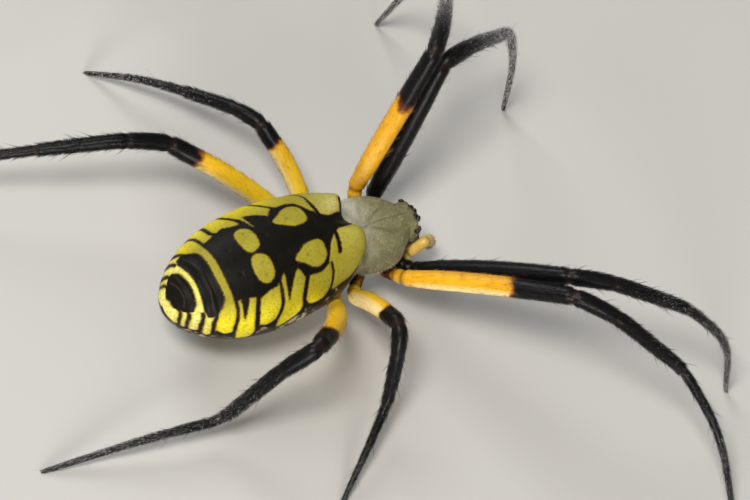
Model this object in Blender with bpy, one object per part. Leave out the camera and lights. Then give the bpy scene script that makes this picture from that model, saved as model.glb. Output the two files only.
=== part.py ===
"""Adult female black-and-yellow garden spider, life size, standing on its eight feet.

All sizes below are millimetres in the spider's own frame: +X points forward, +Y to its
left, z = 0 is the floor and the origin lies under the middle of the carapace.  The empty
"spider" carries every piece and shifts that frame, so that the world origin is under the
middle of the whole spread of the legs.
"""

import math

import bmesh
import bpy
from mathutils import Matrix, Vector

MM = 0.001

SPREAD_SHIFT = (5.47, 3.84, 0.0)     # own frame's place in the world
GAP = 0.1                           # clearance between neighbouring pieces

# Carapace: the shield over the front half of the body.
CARAPACE_FRONT_X = 4.2
CARAPACE_LENGTH = 8.15
CARAPACE_WIDTH = 6.7
CARAPACE_FLOOR_Z = 4.75
CARAPACE_RIM_Z = 5.0
CARAPACE_TOP_Z = 7.1
HEAD_HALF_WIDTH = 1.62
HEAD_LENGTH = 3.4

# Abdomen: egg-shaped, with a blunt front that overhangs the carapace.
ABDOMEN_LENGTH = 18.1
ABDOMEN_FRONT = (-1.6, 0.25)
ABDOMEN_YAW = 4.0
ABDOMEN_WIDTH = 10.2
ABDOMEN_MID_Z = 6.1
ABDOMEN_RISE = 4.35
ABDOMEN_DROP = 4.6
ABDOMEN_FRONT_LIFT = 1.7
ABDOMEN_KEEL = 1.2                  # how sharply the front part narrows downward
SHOULDER_HEIGHT = 0.6
NOTCH_DEPTH = 1.9                  # between the shoulders, seen from above
NOTCH_SIDE = 0.3                   # how far to the left its middle lies
NOTCH_WIDTH = 2.2

# Sternum and the ring of leg roots around it.
STERNUM_CENTRE = (-0.5, 0.0, 3.55)
STERNUM_HALF = (1.8, 1.2, 0.75)
ROOT_RING = (2.15, 1.55)
ROOT_Z = 3.55
ROOT_ANGLES = {1: 42.0, 2: 72.0, 3: 103.0, 4: 148.0}

# Legs, by pair: where the femur starts, and the lengths of femur, tibia and foot.
FEMUR_START = {
    1: (2.47, 3.52, 3.84),
    2: (0.95, 4.34, 4.75),
    3: (-3.30, 4.02, 3.79),
    4: (-4.79, 3.72, 3.39),
}
LEG_LENGTHS = {
    1: (13.8, 10.8, 12.8),
    2: (14.6, 11.6, 13.7),
    3: (7.9, 7.5, 8.9),
    4: (12.3, 10.7, 14.7),
}
# Azimuth and rise of the femur, azimuth and rise of the tibia, azimuth of the foot.
LEG_POSE = {
    "L1": (40, 65, 17, -22, -15),
    "L2": (34, 67, 46, -29, 86),
    "L3": (101, 22, 120, -21, 130),
    "L4": (138, 21, 162, -7, 162),
    "R1": (-47, 37, -30, -8, -33),
    "R2": (-48, 33, -43, -20, -75),
    "R3": (-94, 44, -106, -59, -138),
    "R4": (-137, 39, -183, -56, 174),
}
# How far the femur's middle stands out forward and upward, and the foot's middle upward.
LEG_BOW = {
    "L1": (0.0, 0.3, 0.4),
    "L2": (0.0, 0.3, 1.3),
    "L3": (0.2, 0.15, 0.4),
    "L4": (0.0, 0.5, 0.8),
    "R1": (0.0, 0.25, 1.4),
    "R2": (0.0, 0.25, 1.3),
    "R3": (0.0, 0.3, 0.4),
    "R4": (0.6, 0.3, 0.4),
}
PAIR_GIRTH = {1: 1.0, 2: 1.0, 3: 0.92, 4: 1.0}
PATELLA_SHARE = 0.33                # of the tibia piece's length
PATELLA_ARCH = 0.07                 # of the tibia piece's length

# Radii along each leg piece, evenly spaced from its inner to its outer end.
GIRTH = {
    "coxa": (0.48, 0.58, 0.62, 0.60, 0.60),
    "femur": (0.66, 0.83, 0.86, 0.85, 0.79, 0.70),
    "tibia": (0.67, 0.68, 0.62, 0.58, 0.55, 0.52, 0.48),
    "foot": (0.42, 0.38, 0.35, 0.32, 0.29, 0.27, 0.26),
}
TUBE_RESOLUTION = 2                 # eight sides
JOINT_STEPS = 4                     # rings round a joint; an even number
BEND_STEPS = 2                      # rings round a bend within a piece

# Jaws and fangs of the left side, which the right side mirrors, and the two palps.
JAW_LINE = ((3.62, 0.72, 4.45), (4.02, 0.74, 3.9), (4.05, 0.72, 3.0), (3.75, 0.66, 2.2))
JAW_GIRTH = (0.52, 0.66, 0.62, 0.42)
FANG_LINE = ((3.62, 0.62, 2.06), (3.48, 0.52, 1.78), (3.18, 0.40, 1.62), (2.86, 0.36, 1.70))
FANG_GIRTH = (0.27, 0.26, 0.25, 0.25)
PALP_LINES = {
    "left": (
        (2.45, 1.30, 3.15),
        (2.85, 1.95, 3.15),
        (4.30, 2.05, 3.65),
        (4.90, 1.85, 2.90),
        (5.15, 1.60, 2.00),
        (5.05, 1.40, 1.20),
    ),
    "right": (
        (2.45, -1.30, 3.15),
        (2.85, -1.95, 3.20),
        (4.32, -2.00, 4.85),
        (5.10, -1.60, 4.10),
        (5.80, -1.30, 2.90),
        (6.00, -1.10, 1.80),
    ),
}
PALP_GIRTH = (0.36, 0.42, 0.52, 0.48, 0.44, 0.42, 0.46, 0.44, 0.28)
MAXILLA_CENTRE = (2.15, 0.60, 3.25)
MAXILLA_HALF = (0.52, 0.46, 0.52)
LABIUM_CENTRE = (1.62, 0.0, 2.82)
LABIUM_HALF = (0.24, 0.34, 0.26)

# Eyes of the left side: name, centre on the head, radius.
EYES = (
    ("anterior_median", (4.07, 0.34, 6.02), 0.25),
    ("posterior_median", (3.60, 0.42, 6.62), 0.25),
    ("anterior_lateral", (3.80, 1.22, 5.84), 0.20),
    ("posterior_lateral", (3.46, 1.46, 6.06), 0.20),
)
EYE_CLEARANCE = 0.04

PEDICEL_ENDS = ((-4.08, 0.0, 4.95), (-5.0, 0.0, 5.10))
PEDICEL_RADIUS = 0.42
SPINNERET_CENTRE = (-14.6, 0.0, 2.35)
SPINNERET_HALF = (1.05, 0.85, 1.35)
SPINNERET_LEAN = 28.0

COLORS = {
    "carapace": ((0.27, 0.26, 0.17), 0.55),
    "abdomen": ((0.72, 0.60, 0.07), 0.45),
    "dark": ((0.012, 0.010, 0.012), 0.40),
    "orange": ((0.80, 0.36, 0.03), 0.45),
    "eye": ((0.006, 0.005, 0.005), 0.08),
}


def clear_scene():
    for old in list(bpy.data.objects):
        bpy.data.objects.remove(old, do_unlink=True)


def make_materials():
    """One Principled material for each finish."""
    made = {}
    for name, (color, roughness) in COLORS.items():
        material = bpy.data.materials.new(name)
        material.use_nodes = True
        shader = material.node_tree.nodes["Principled BSDF"]
        shader.inputs["Base Color"].default_value = (*color, 1.0)
        shader.inputs["Roughness"].default_value = roughness
        made[name] = material
    return made


def mm(point):
    return Vector(point) * MM


def mirrored(point, side):
    """The left side's point, or its mirror image for side = -1."""
    return Vector((point[0], point[1] * side, point[2]))


def place(obj, material, collection, parent):
    """Give an object its material, its collection and its parent."""
    obj.data.materials.append(material)
    collection.objects.link(obj)
    obj.parent = parent
    return obj


def mesh_object(name, bm):
    """Turn a bmesh into an object with its faces outward and smooth shading."""
    bmesh.ops.recalc_face_normals(bm, faces=bm.faces)
    if bm.calc_volume(signed=True) < 0.0:
        bmesh.ops.reverse_faces(bm, faces=bm.faces)
    mesh = bpy.data.meshes.new(name)
    bm.to_mesh(mesh)
    bm.free()
    mesh.shade_smooth()
    return bpy.data.objects.new(name, mesh)


def ball(name, centre, half, segments=12, rings=8, turn=None):
    """An ellipsoid with the given centre and half sizes."""
    bm = bmesh.new()
    bmesh.ops.create_uvsphere(bm, u_segments=segments, v_segments=rings, radius=MM)
    matrix = Matrix.Translation(mm(centre)) @ (turn or Matrix()) @ Matrix.Diagonal((*half, 1.0))
    bmesh.ops.transform(bm, matrix=matrix, verts=bm.verts)
    return mesh_object(name, bm)


def tube(name, points, radii):
    """A closed tube through the points, with its own radius at each of them."""
    curve = bpy.data.curves.new(name, "CURVE")
    curve.dimensions = "3D"
    curve.bevel_depth = MM
    curve.bevel_resolution = TUBE_RESOLUTION
    curve.use_fill_caps = True
    spline = curve.splines.new("POLY")
    spline.points.add(len(points) - 1)
    for node, point, radius in zip(spline.points, points, radii):
        node.co = (*mm(point), 1.0)
        node.radius = radius
    return bpy.data.objects.new(name, curve)


def solid_from_curve(obj):
    """Turn a tube into a mesh object of the same name, with its caps welded on."""
    name = obj.name
    bpy.context.scene.collection.objects.link(obj)
    depsgraph = bpy.context.evaluated_depsgraph_get()
    mesh = bpy.data.meshes.new_from_object(obj.evaluated_get(depsgraph))
    bpy.data.objects.remove(obj, do_unlink=True)
    bm = bmesh.new()
    bm.from_mesh(mesh)
    bmesh.ops.remove_doubles(bm, verts=bm.verts, dist=0.001 * MM)
    return name, bm


def sample(values, share):
    """The value at a share from 0 to 1 along an evenly spaced list."""
    place_in_list = share * (len(values) - 1)
    low = min(int(place_in_list), len(values) - 2)
    return values[low] + (values[low + 1] - values[low]) * (place_in_list - low)


def girths(points, values):
    """A radius for each point, read from the list by distance along the points."""
    walked = [0.0]
    for before, after in zip(points, points[1:]):
        walked.append(walked[-1] + (after - before).length)
    return [sample(values, distance / walked[-1]) for distance in walked]


def heading(azimuth, rise):
    """Unit vector with the given azimuth and rise in degrees."""
    turn, lift = math.radians(azimuth), math.radians(rise)
    flat = math.cos(lift)
    return Vector((flat * math.cos(turn), flat * math.sin(turn), math.sin(lift)))


def corner(before, at, after, reach, steps=BEND_STEPS):
    """Points on a smooth bend at a corner, with the bend's middle in their middle."""
    start = at + (before - at).normalized() * min(reach, 0.45 * (before - at).length)
    end = at + (after - at).normalized() * min(reach, 0.45 * (after - at).length)
    points = []
    for step in range(steps + 1):
        share = step / steps
        points.append(start.lerp(at, share).lerp(at.lerp(end, share), share))
    return points


# ---- body -------------------------------------------------------------------------


def carapace_half_width(share):
    """Half the carapace's width, at a share of its length from the front."""
    thorax = max(0.0, 1.0 - abs((share - 0.60) / 0.45) ** 2.2) ** 0.5 * CARAPACE_WIDTH / 2
    nose = min(1.0, share / 0.12)
    head = HEAD_HALF_WIDTH * (1.0 - (1.0 - nose) ** 2.4) ** 0.5
    neck = max(0.0, 1.0 - share * CARAPACE_LENGTH / HEAD_LENGTH)
    return max(thorax, head * min(1.0, 0.6 + neck)) if share < 0.5 else thorax


def carapace_height(share):
    """Height of the carapace's middle line over its rim."""
    full = CARAPACE_TOP_Z - CARAPACE_RIM_Z
    brow = 1.0 - (1.0 - min(1.0, share / 0.10)) ** 2.5
    crest = 0.80 + 0.20 * math.sin(math.pi * min(1.0, share / 0.9))
    rear = 1.0 - max(0.0, (share - 0.55) / 0.45) ** 2.0
    return full * brow * crest * (0.12 + 0.88 * rear)


def make_carapace():
    """A domed shield: a sphere's points moved to the shield's outline and height."""
    bm = bmesh.new()
    bmesh.ops.create_uvsphere(bm, u_segments=24, v_segments=16, radius=1.0)
    for vert in bm.verts:
        along, around = math.acos(max(-1.0, min(1.0, vert.co.z))), math.atan2(vert.co.y, vert.co.x)
        share = along / math.pi
        share = 0.5 - 0.5 * math.cos(math.pi * share) * (0.75 + 0.25 * abs(math.cos(math.pi * share)))
        x = CARAPACE_FRONT_X - CARAPACE_LENGTH * share
        y = carapace_half_width(share) * math.cos(around)
        if math.sin(around) > 0:
            z = CARAPACE_RIM_Z + carapace_height(share) * math.sin(around) ** 0.8
        else:
            z = CARAPACE_RIM_Z + (CARAPACE_RIM_Z - CARAPACE_FLOOR_Z) * math.sin(around)
        vert.co = mm((x, y, z))
    bmesh.ops.remove_doubles(bm, verts=bm.verts, dist=0.01 * MM)
    return mesh_object("carapace", bm)


def bulge(share, peak, front_power, rear_power, front_root, rear_root):
    """A smooth rise from 0 at the front to 1 at the peak, and back to 0 at the rear."""
    if share < peak:
        return max(0.0, 1.0 - ((peak - share) / peak) ** front_power) ** front_root
    return max(0.0, 1.0 - ((share - peak) / (1.0 - peak)) ** rear_power) ** rear_root


def abdomen_point(share, around, swell=0.0):
    """A point of the abdomen's skin: share runs from front to tail, around is an angle."""
    width = ABDOMEN_WIDTH / 2 * bulge(share, 0.48, 2.3, 2.1, 0.47, 0.58)
    rise = ABDOMEN_RISE * bulge(share, 0.42, 2.6, 2.2, 0.50, 0.55)
    drop = ABDOMEN_DROP * bulge(share, 0.60, 1.6, 2.2, 1.25, 0.55)
    middle = ABDOMEN_MID_Z + ABDOMEN_FRONT_LIFT * max(0.0, 1.0 - share / 0.32) ** 2
    x = -ABDOMEN_LENGTH * share
    y = width * math.cos(around)
    upper = math.sin(around) > 0
    if not upper:
        y *= abs(math.cos(around)) ** (ABDOMEN_KEEL * max(0.0, 1.0 - share / 0.5))
    z = middle + (rise if upper else drop) * math.sin(around)
    if upper:
        # Two rounded shoulders with a dip between them.
        shoulder = math.exp(-((share - 0.09) / 0.075) ** 2)
        ridge = math.exp(-((abs(y) - 1.9) / 1.0) ** 2) - 0.6 * math.exp(-(y / 0.8) ** 2)
        z += SHOULDER_HEIGHT * shoulder * ridge * math.sin(around)
        x += 0.55 * SHOULDER_HEIGHT * shoulder * ridge * math.sin(around)
    x -= NOTCH_DEPTH * math.exp(-((y - NOTCH_SIDE) / NOTCH_WIDTH) ** 2 - share / 0.1)
    point = Vector((x, y, z))
    if swell:
        centre = Vector((x, 0.0, middle))
        point += (point - centre).normalized() * swell
    point.rotate(Matrix.Rotation(math.radians(ABDOMEN_YAW), 3, "Z"))
    return point + Vector((*ABDOMEN_FRONT, 0.0))


def abdomen_mesh(swell=0.0, segments=28, rings=22):
    """The abdomen's closed skin, or a slightly swollen copy of it for cutting."""
    bm = bmesh.new()
    bmesh.ops.create_uvsphere(bm, u_segments=segments, v_segments=rings, radius=1.0)
    for vert in bm.verts:
        along, around = math.acos(max(-1.0, min(1.0, vert.co.z))), math.atan2(vert.co.y, vert.co.x)
        vert.co = abdomen_point(0.5 - 0.5 * math.cos(along), around, swell) * MM
    return bm


def cut(obj, cutter):
    """Subtract a hidden cutter from an object."""
    cutter.hide_render = True
    cutter.display_type = "WIRE"
    modifier = obj.modifiers.new(cutter.name, "BOOLEAN")
    modifier.operation = "DIFFERENCE"
    modifier.object = cutter


# ---- legs -------------------------------------------------------------------------


def leg_joints(name):
    """Corner points of a leg: root, hip, femur start, knee, patella end, ankle, bend, tip."""
    side, pair = (1 if name[0] == "L" else -1), int(name[1])
    femur, tibia, foot = LEG_LENGTHS[pair]
    femur_turn, femur_rise, tibia_turn, tibia_rise, foot_turn = LEG_POSE[name]
    turn = math.radians(ROOT_ANGLES[pair])
    root = Vector((
        STERNUM_CENTRE[0] + ROOT_RING[0] * math.cos(turn),
        ROOT_RING[1] * math.sin(turn) * side,
        ROOT_Z,
    ))
    start = mirrored(FEMUR_START[pair], side)
    hip = root.lerp(start, 0.5)
    hip.z = ROOT_Z + 0.1
    knee = start + heading(femur_turn, femur_rise) * femur
    ankle = knee + heading(tibia_turn, tibia_rise) * tibia
    upward = heading(tibia_turn, tibia_rise + 90.0)
    patella = knee.lerp(ankle, PATELLA_SHARE) + upward * PATELLA_ARCH * tibia
    foot_drop = -math.degrees(math.asin(ankle.z / foot))
    tip = ankle + heading(foot_turn, foot_drop) * foot
    outward = heading(foot_turn, foot_drop + 90.0)
    bend = ankle.lerp(tip, 0.42) + outward * LEG_BOW[name][2] * 1.4
    return root, hip, start, knee, patella, ankle, bend, tip


def femur_middle(name, start, end):
    """Points along the femur between its joints, bowed forward and upward."""
    forward, upward, _ = LEG_BOW[name]
    turn, rise = LEG_POSE[name][:2]
    up = heading(turn, rise + 90.0)
    ahead = up.cross((end - start).normalized()) * (-1 if name[0] == "L" else 1)
    points = []
    for share in (0.1, 0.3, 0.5, 0.7, 0.9):
        height = 4.0 * share * (1.0 - share)
        points.append(start.lerp(end, share) + (ahead * forward + up * upward) * height)
    return points


def leg_pieces(name):
    """Centre lines of the leg's four pieces, parted by thin gaps at three joints."""
    root, hip, start, knee, patella, ankle, bend, tip = leg_joints(name)
    hip_bend = corner(root, hip, start, 0.6)
    joints = {
        "femur": corner(hip, start, knee, 0.8, JOINT_STEPS),
        "tibia": corner(start, knee, patella, 1.2, JOINT_STEPS),
        "foot": corner(patella, ankle, bend, 1.4, JOINT_STEPS),
    }
    patella_bend = corner(knee, patella, ankle, 1.5)
    foot_bend = corner(ankle, bend, tip, 4.0, JOINT_STEPS)
    runs = {
        "coxa": ([root], hip_bend, None, "femur"),
        "femur": ([], None, "femur", "tibia"),
        "tibia": ([], patella_bend, "tibia", "foot"),
        "foot": ([], foot_bend, "foot", None),
    }
    pieces = {}
    for piece, (first, bend_points, opens, closes) in runs.items():
        points = list(first)
        if opens:
            points += opening(joints[opens])
        if bend_points:
            points += bend_points
        elif piece == "femur":
            points += femur_middle(name, joints["femur"][-1], joints["tibia"][0])
        if closes:
            points += closing(joints[closes])
        else:
            points.append(tip + (tip - foot_bend[-1]).normalized() * 0.6)
        pieces[piece] = points
    return pieces


def joint_face(bend):
    """The middle of a joint's bend, its direction there and the length of a short stub."""
    middle = len(bend) // 2
    chord = bend[middle + 1] - bend[middle - 1]
    return bend[middle], chord.normalized(), max(0.1, 0.3 * chord.length)


def closing(bend):
    """The points of a joint's bend up to its middle, ending square to it."""
    at, along, stub = joint_face(bend)
    return bend[:len(bend) // 2] + [at - along * stub, at - along * GAP / 2]


def opening(bend):
    """The points of a joint's bend from its middle on, starting square to it."""
    at, along, stub = joint_face(bend)
    return [at + along * GAP / 2, at + along * stub] + bend[len(bend) // 2 + 1:]


def trim_at_floor(bm):
    """Cut a foot off level with the floor and close the cut with a small flat."""
    geometry = list(bm.verts) + list(bm.edges) + list(bm.faces)
    made = bmesh.ops.bisect_plane(
        bm, geom=geometry, plane_co=(0, 0, 0), plane_no=(0, 0, 1), clear_inner=True
    )
    rim = [item for item in made["geom_cut"] if isinstance(item, bmesh.types.BMEdge)]
    bmesh.ops.holes_fill(bm, edges=rim)


def make_leg(name, materials, collection, spider):
    pair = int(name[1])
    for piece, points in leg_pieces(name).items():
        radii = [radius * PAIR_GIRTH[pair] for radius in girths(points, GIRTH[piece])]
        if piece == "foot":
            radii = [max(radius, 0.255) for radius in radii]
        obj = tube(f"leg_{name}_{piece}", points, radii)
        if piece == "foot":
            foot_name, bm = solid_from_curve(obj)
            trim_at_floor(bm)
            obj = mesh_object(foot_name, bm)
        orange = pair != 1 and piece in ("coxa", "femur")
        place(obj, materials["orange" if orange else "dark"], collection, spider)


# ---- head -------------------------------------------------------------------------


def smooth_line(corners, reach):
    """A line through corner points with each corner rounded."""
    points = [corners[0]]
    for before, at, after in zip(corners, corners[1:], corners[2:]):
        points += corner(before, at, after, reach)
    return points + [corners[-1]]


def make_face(side, materials, collection, spider):
    """One side's jaw, fang, palp, maxilla and four eyes."""
    word = "left" if side > 0 else "right"
    jaw = smooth_line([mirrored(point, side) for point in JAW_LINE], 0.35)
    place(tube(f"chelicera_{word}", jaw, girths(jaw, JAW_GIRTH)),
          materials["dark"], collection, spider)
    fang = [mirrored(point, side) for point in FANG_LINE]
    place(tube(f"fang_{word}", fang, FANG_GIRTH), materials["dark"], collection, spider)
    palp = smooth_line([Vector(point) for point in PALP_LINES[word]], 0.45)
    place(tube(f"palp_{word}", palp, girths(palp, PALP_GIRTH)),
          materials["orange"], collection, spider)
    place(ball(f"maxilla_{word}", mirrored(MAXILLA_CENTRE, side), MAXILLA_HALF, 10, 6),
          materials["dark"], collection, spider)


def make_eyes(carapace, materials, collection, cutters, spider):
    """Eight glossy eyes, each in a socket cut in the carapace."""
    for eye, centre, radius in EYES:
        for side, word in ((1, "left"), (-1, "right")):
            at = mirrored(centre, side)
            place(ball(f"eye_{eye}_{word}", at, (radius,) * 3, 8, 6),
                  materials["eye"], collection, spider)
            hole = radius + EYE_CLEARANCE
            socket = ball(f"socket_{eye}_{word}", at, (hole,) * 3, 8, 6)
            socket.parent = spider
            cutters.objects.link(socket)
            cut(carapace, socket)


def main():
    clear_scene()
    materials = make_materials()
    collection = bpy.data.collections.new("spider")
    cutters = bpy.data.collections.new("cutters")
    bpy.context.scene.collection.children.link(collection)
    bpy.context.scene.collection.children.link(cutters)
    spider = bpy.data.objects.new("spider", None)
    spider.location = mm(SPREAD_SHIFT)
    collection.objects.link(spider)

    carapace = place(make_carapace(), materials["carapace"], collection, spider)
    make_eyes(carapace, materials, collection, cutters, spider)
    for side in (1, -1):
        make_face(side, materials, collection, spider)
    place(ball("sternum", STERNUM_CENTRE, STERNUM_HALF, 14, 8),
          materials["dark"], collection, spider)
    place(ball("labium", LABIUM_CENTRE, LABIUM_HALF, 8, 5),
          materials["dark"], collection, spider)

    place(mesh_object("abdomen", abdomen_mesh()), materials["abdomen"], collection, spider)
    pedicel = mesh_object(*solid_from_curve(
        tube("pedicel", [Vector(end) for end in PEDICEL_ENDS], [PEDICEL_RADIUS] * 2)))
    place(pedicel, materials["dark"], collection, spider)
    lean = Matrix.Rotation(math.radians(SPINNERET_LEAN), 4, "Y")
    spinnerets = ball("spinnerets", SPINNERET_CENTRE, SPINNERET_HALF, 12, 8, lean)
    place(spinnerets, materials["dark"], collection, spider)
    belly = mesh_object("belly_cutter", abdomen_mesh(GAP))
    belly.parent = spider
    cutters.objects.link(belly)
    cut(spinnerets, belly)
    cut(pedicel, belly)

    for name in LEG_POSE:
        make_leg(name, materials, collection, spider)


main()
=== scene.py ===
"""The looks of a life-size garden spider, standing with its legs spread.

Sizes are millimetres in the spider's own frame: +X forward, +Y to its left, z = 0 the floor
and the origin under the middle of the carapace.  SPREAD_SHIFT puts that frame in the world.
"""

import math

import bpy
import numpy as np
from mathutils import Matrix, Vector

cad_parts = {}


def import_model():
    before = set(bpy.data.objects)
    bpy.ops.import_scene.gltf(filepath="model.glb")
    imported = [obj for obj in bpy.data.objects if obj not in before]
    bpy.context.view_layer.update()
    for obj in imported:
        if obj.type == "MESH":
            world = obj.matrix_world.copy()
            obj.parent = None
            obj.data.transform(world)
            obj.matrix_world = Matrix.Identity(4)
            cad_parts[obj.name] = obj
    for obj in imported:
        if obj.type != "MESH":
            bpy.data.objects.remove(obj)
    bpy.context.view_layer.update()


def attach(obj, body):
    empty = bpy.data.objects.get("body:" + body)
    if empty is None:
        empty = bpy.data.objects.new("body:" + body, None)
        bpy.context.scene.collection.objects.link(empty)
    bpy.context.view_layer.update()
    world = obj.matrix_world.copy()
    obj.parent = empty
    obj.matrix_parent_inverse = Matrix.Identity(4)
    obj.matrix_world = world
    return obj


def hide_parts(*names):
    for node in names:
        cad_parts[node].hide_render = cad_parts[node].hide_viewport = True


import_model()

# ---- Setting ------------------------------------------------------------------------
# A plain pale floor, a broad key light overhead, a low one from behind the right side, a
# weak one from the left, and a camera that looks down on the back from behind the right.

MM = 0.001
SPREAD_SHIFT = np.array((5.47, 3.84, 0.0))


def world(points):
    """Points of the spider's own frame, in the world's metres."""
    return (np.asarray(points, dtype=float) + SPREAD_SHIFT) * MM


def new_material(name, color, roughness):
    """A Principled material, with its node tree and its shader."""
    material = bpy.data.materials.new(name)
    material.use_nodes = True
    shader = material.node_tree.nodes["Principled BSDF"]
    shader.inputs["Base Color"].default_value = (*color, 1.0)
    shader.inputs["Roughness"].default_value = roughness
    return material, material.node_tree, shader


def area_light(name, heading, distance, size, power, color):
    """A soft square light that shines on the middle of the body."""
    light = bpy.data.lights.new(name, "AREA")
    light.size = size
    light.energy = power
    light.color = color
    lamp = bpy.data.objects.new(name, light)
    bpy.context.scene.collection.objects.link(lamp)
    away = Vector(heading).normalized()
    lamp.location = away * distance
    lamp.rotation_euler = away.to_track_quat("Z", "Y").to_euler()


area_light("key", (-0.45, -0.06, 0.89), 0.50, 0.13, 1.9, (1.0, 0.965, 0.90))
area_light("side", (-0.48, -0.85, 0.28), 0.50, 0.16, 1.8, (1.0, 0.97, 0.92))
area_light("fill", (-0.10, 0.80, 0.60), 0.60, 0.30, 1.7, (0.96, 0.98, 1.0))

surroundings = bpy.data.worlds.new("studio")
surroundings.use_nodes = True
sky = surroundings.node_tree.nodes["Background"]
sky.inputs["Color"].default_value = (0.93, 0.95, 1.0, 1.0)
sky.inputs["Strength"].default_value = 0.14
bpy.context.scene.world = surroundings

FLOOR_REACH = 1.5
FLOOR_Z = -0.00001                  # just under the feet
floor_mesh = bpy.data.meshes.new("floor")
floor_corners = ((-1, -1), (1, -1), (1, 1), (-1, 1))
floor_mesh.from_pydata([(x * FLOOR_REACH, y * FLOOR_REACH, FLOOR_Z) for x, y in floor_corners],
                       [], [(0, 1, 2, 3)])
floor = bpy.data.objects.new("floor", floor_mesh)
bpy.context.scene.collection.objects.link(floor)
floor_material, _, _ = new_material("pale_floor", (0.52, 0.51, 0.49), 0.8)
floor_mesh.materials.append(floor_material)

EYE_POINT = world((-132.0, -99.6, 239.7))
LOOK_RIGHT = Vector((0.8458, -0.4498, 0.2868))
LOOK_UP = Vector((0.2702, 0.8248, 0.4967))
lens = bpy.data.cameras.new("camera")
lens.lens = 172.8
lens.sensor_width = 36.0
lens.clip_start = 0.01
camera = bpy.data.objects.new("camera", lens)
bpy.context.scene.collection.objects.link(camera)
turned = Matrix((LOOK_RIGHT, LOOK_UP, LOOK_RIGHT.cross(LOOK_UP))).transposed()
camera.matrix_world = Matrix.Translation(EYE_POINT) @ turned.to_4x4()
bpy.context.scene.camera = camera
bpy.context.scene.view_settings.view_transform = "Standard"

# ---- Legs ---------------------------------------------------------------------------
# Eight jointed legs, each one continuous cuticle from its root to its toe: coxa, ring-like
# trochanter, femur, kneecap, tibia and a two-part foot, with soft dark skin at each joint.
# Pairs II to IV have orange femora with black ends, and pair I is black all along.

STERNUM_CENTRE = (-0.5, 0.0, 3.55)
# The legs are rooted on an oval ring round the sternum, each pair at its own bearing.
ROOT_RING = (2.15, 1.55)
ROOT_Z = 3.55
ROOT_ANGLES = {1: 42.0, 2: 72.0, 3: 103.0, 4: 148.0}
HIP_LIFT = 0.1
FEMUR_START = {
    1: (2.47, 3.52, 3.84),
    2: (0.95, 4.34, 4.75),
    3: (-3.30, 4.02, 3.79),
    4: (-4.79, 3.72, 3.39),
}
# Lengths of the femur, of the tibia with its kneecap, and of the foot.
LEG_LENGTHS = {
    1: (13.8, 10.8, 12.8),
    2: (14.6, 11.6, 13.7),
    3: (7.9, 7.5, 8.9),
    4: (12.3, 10.7, 14.7),
}
# Azimuth and rise of the femur, azimuth and rise of the tibia, azimuth of the foot.
LEG_POSE = {
    "L1": (40, 65, 17, -22, -15),
    "L2": (34, 67, 46, -29, 86),
    "L3": (101, 22, 120, -21, 130),
    "L4": (138, 21, 162, -7, 162),
    "R1": (-47, 37, -30, -8, -33),
    "R2": (-48, 33, -43, -20, -75),
    "R3": (-94, 44, -106, -59, -138),
    "R4": (-137, 39, -183, -56, 174),
}
# How far the femur's middle stands out forward and upward, and the foot's middle upward.
LEG_BOW = {
    "L1": (0.0, 0.3, 0.4),
    "L2": (0.0, 0.3, 1.3),
    "L3": (0.2, 0.15, 0.4),
    "L4": (0.0, 0.5, 0.8),
    "R1": (0.0, 0.25, 1.4),
    "R2": (0.0, 0.25, 1.3),
    "R3": (0.0, 0.3, 0.4),
    "R4": (0.6, 0.3, 0.4),
}
# How far from each corner of a leg its rounding starts.
ROUNDING = {"hip": 0.6, "start": 0.8, "knee": 1.2, "patella": 1.5, "ankle": 1.4, "bend": 4.0}
PAIR_GIRTH = {1: 1.0, 2: 1.0, 3: 0.92, 4: 1.0}
PATELLA_SHARE = 0.33                # of the tibia, from the knee
PATELLA_ARCH = 0.07                 # of the tibia's length
FOOT_SPLIT = 0.60                   # where the metatarsus meets the tarsus
FOOT_BEND = (0.42, 1.4)             # where the foot bends, and how far its bow carries the bend
TROCHANTER_BACK = 0.75              # from the femur's start back to the trochanter's fold
ORANGE_SHARE = {1: -1.0, 2: 0.70, 3: 0.80, 4: 0.83}     # of the femur, from its start
GOLD_SHARE = {1: 0.0, 2: 0.15, 3: 0.8, 4: 1.0}          # how golden that orange is
# How silvery each leg's bristles are towards its foot.
SILVER = {"L1": 1.7, "L2": 1.7, "L3": 1.0, "L4": 0.8, "R1": 1.0, "R2": 0.8, "R3": 0.8, "R4": 1.1}
COAT_DEPTH = 0.94                   # the cuticle's girth inside the outline of its coat
# Radii along each part of a leg, evenly spaced from its inner to its outer end.
GIRTH = {
    "coxa": (0.48, 0.58, 0.62, 0.60, 0.60),
    "femur": (0.66, 0.83, 0.86, 0.85, 0.79, 0.72),
    "tibia": (0.69, 0.68, 0.62, 0.58, 0.55, 0.52, 0.48),
    "foot": (0.42, 0.38, 0.35, 0.32, 0.29, 0.27, 0.20),
}
RING_STEP = 0.16
LEG_SIDES = 22
CAP_ROW = 0.01                      # height of the end caps on a skin's unwrap


def heading(azimuth, rise):
    """Unit vector with the given azimuth and rise in degrees."""
    turn, lift = math.radians(azimuth), math.radians(rise)
    level = math.cos(lift)
    return Vector((level * math.cos(turn), level * math.sin(turn), math.sin(lift)))


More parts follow.
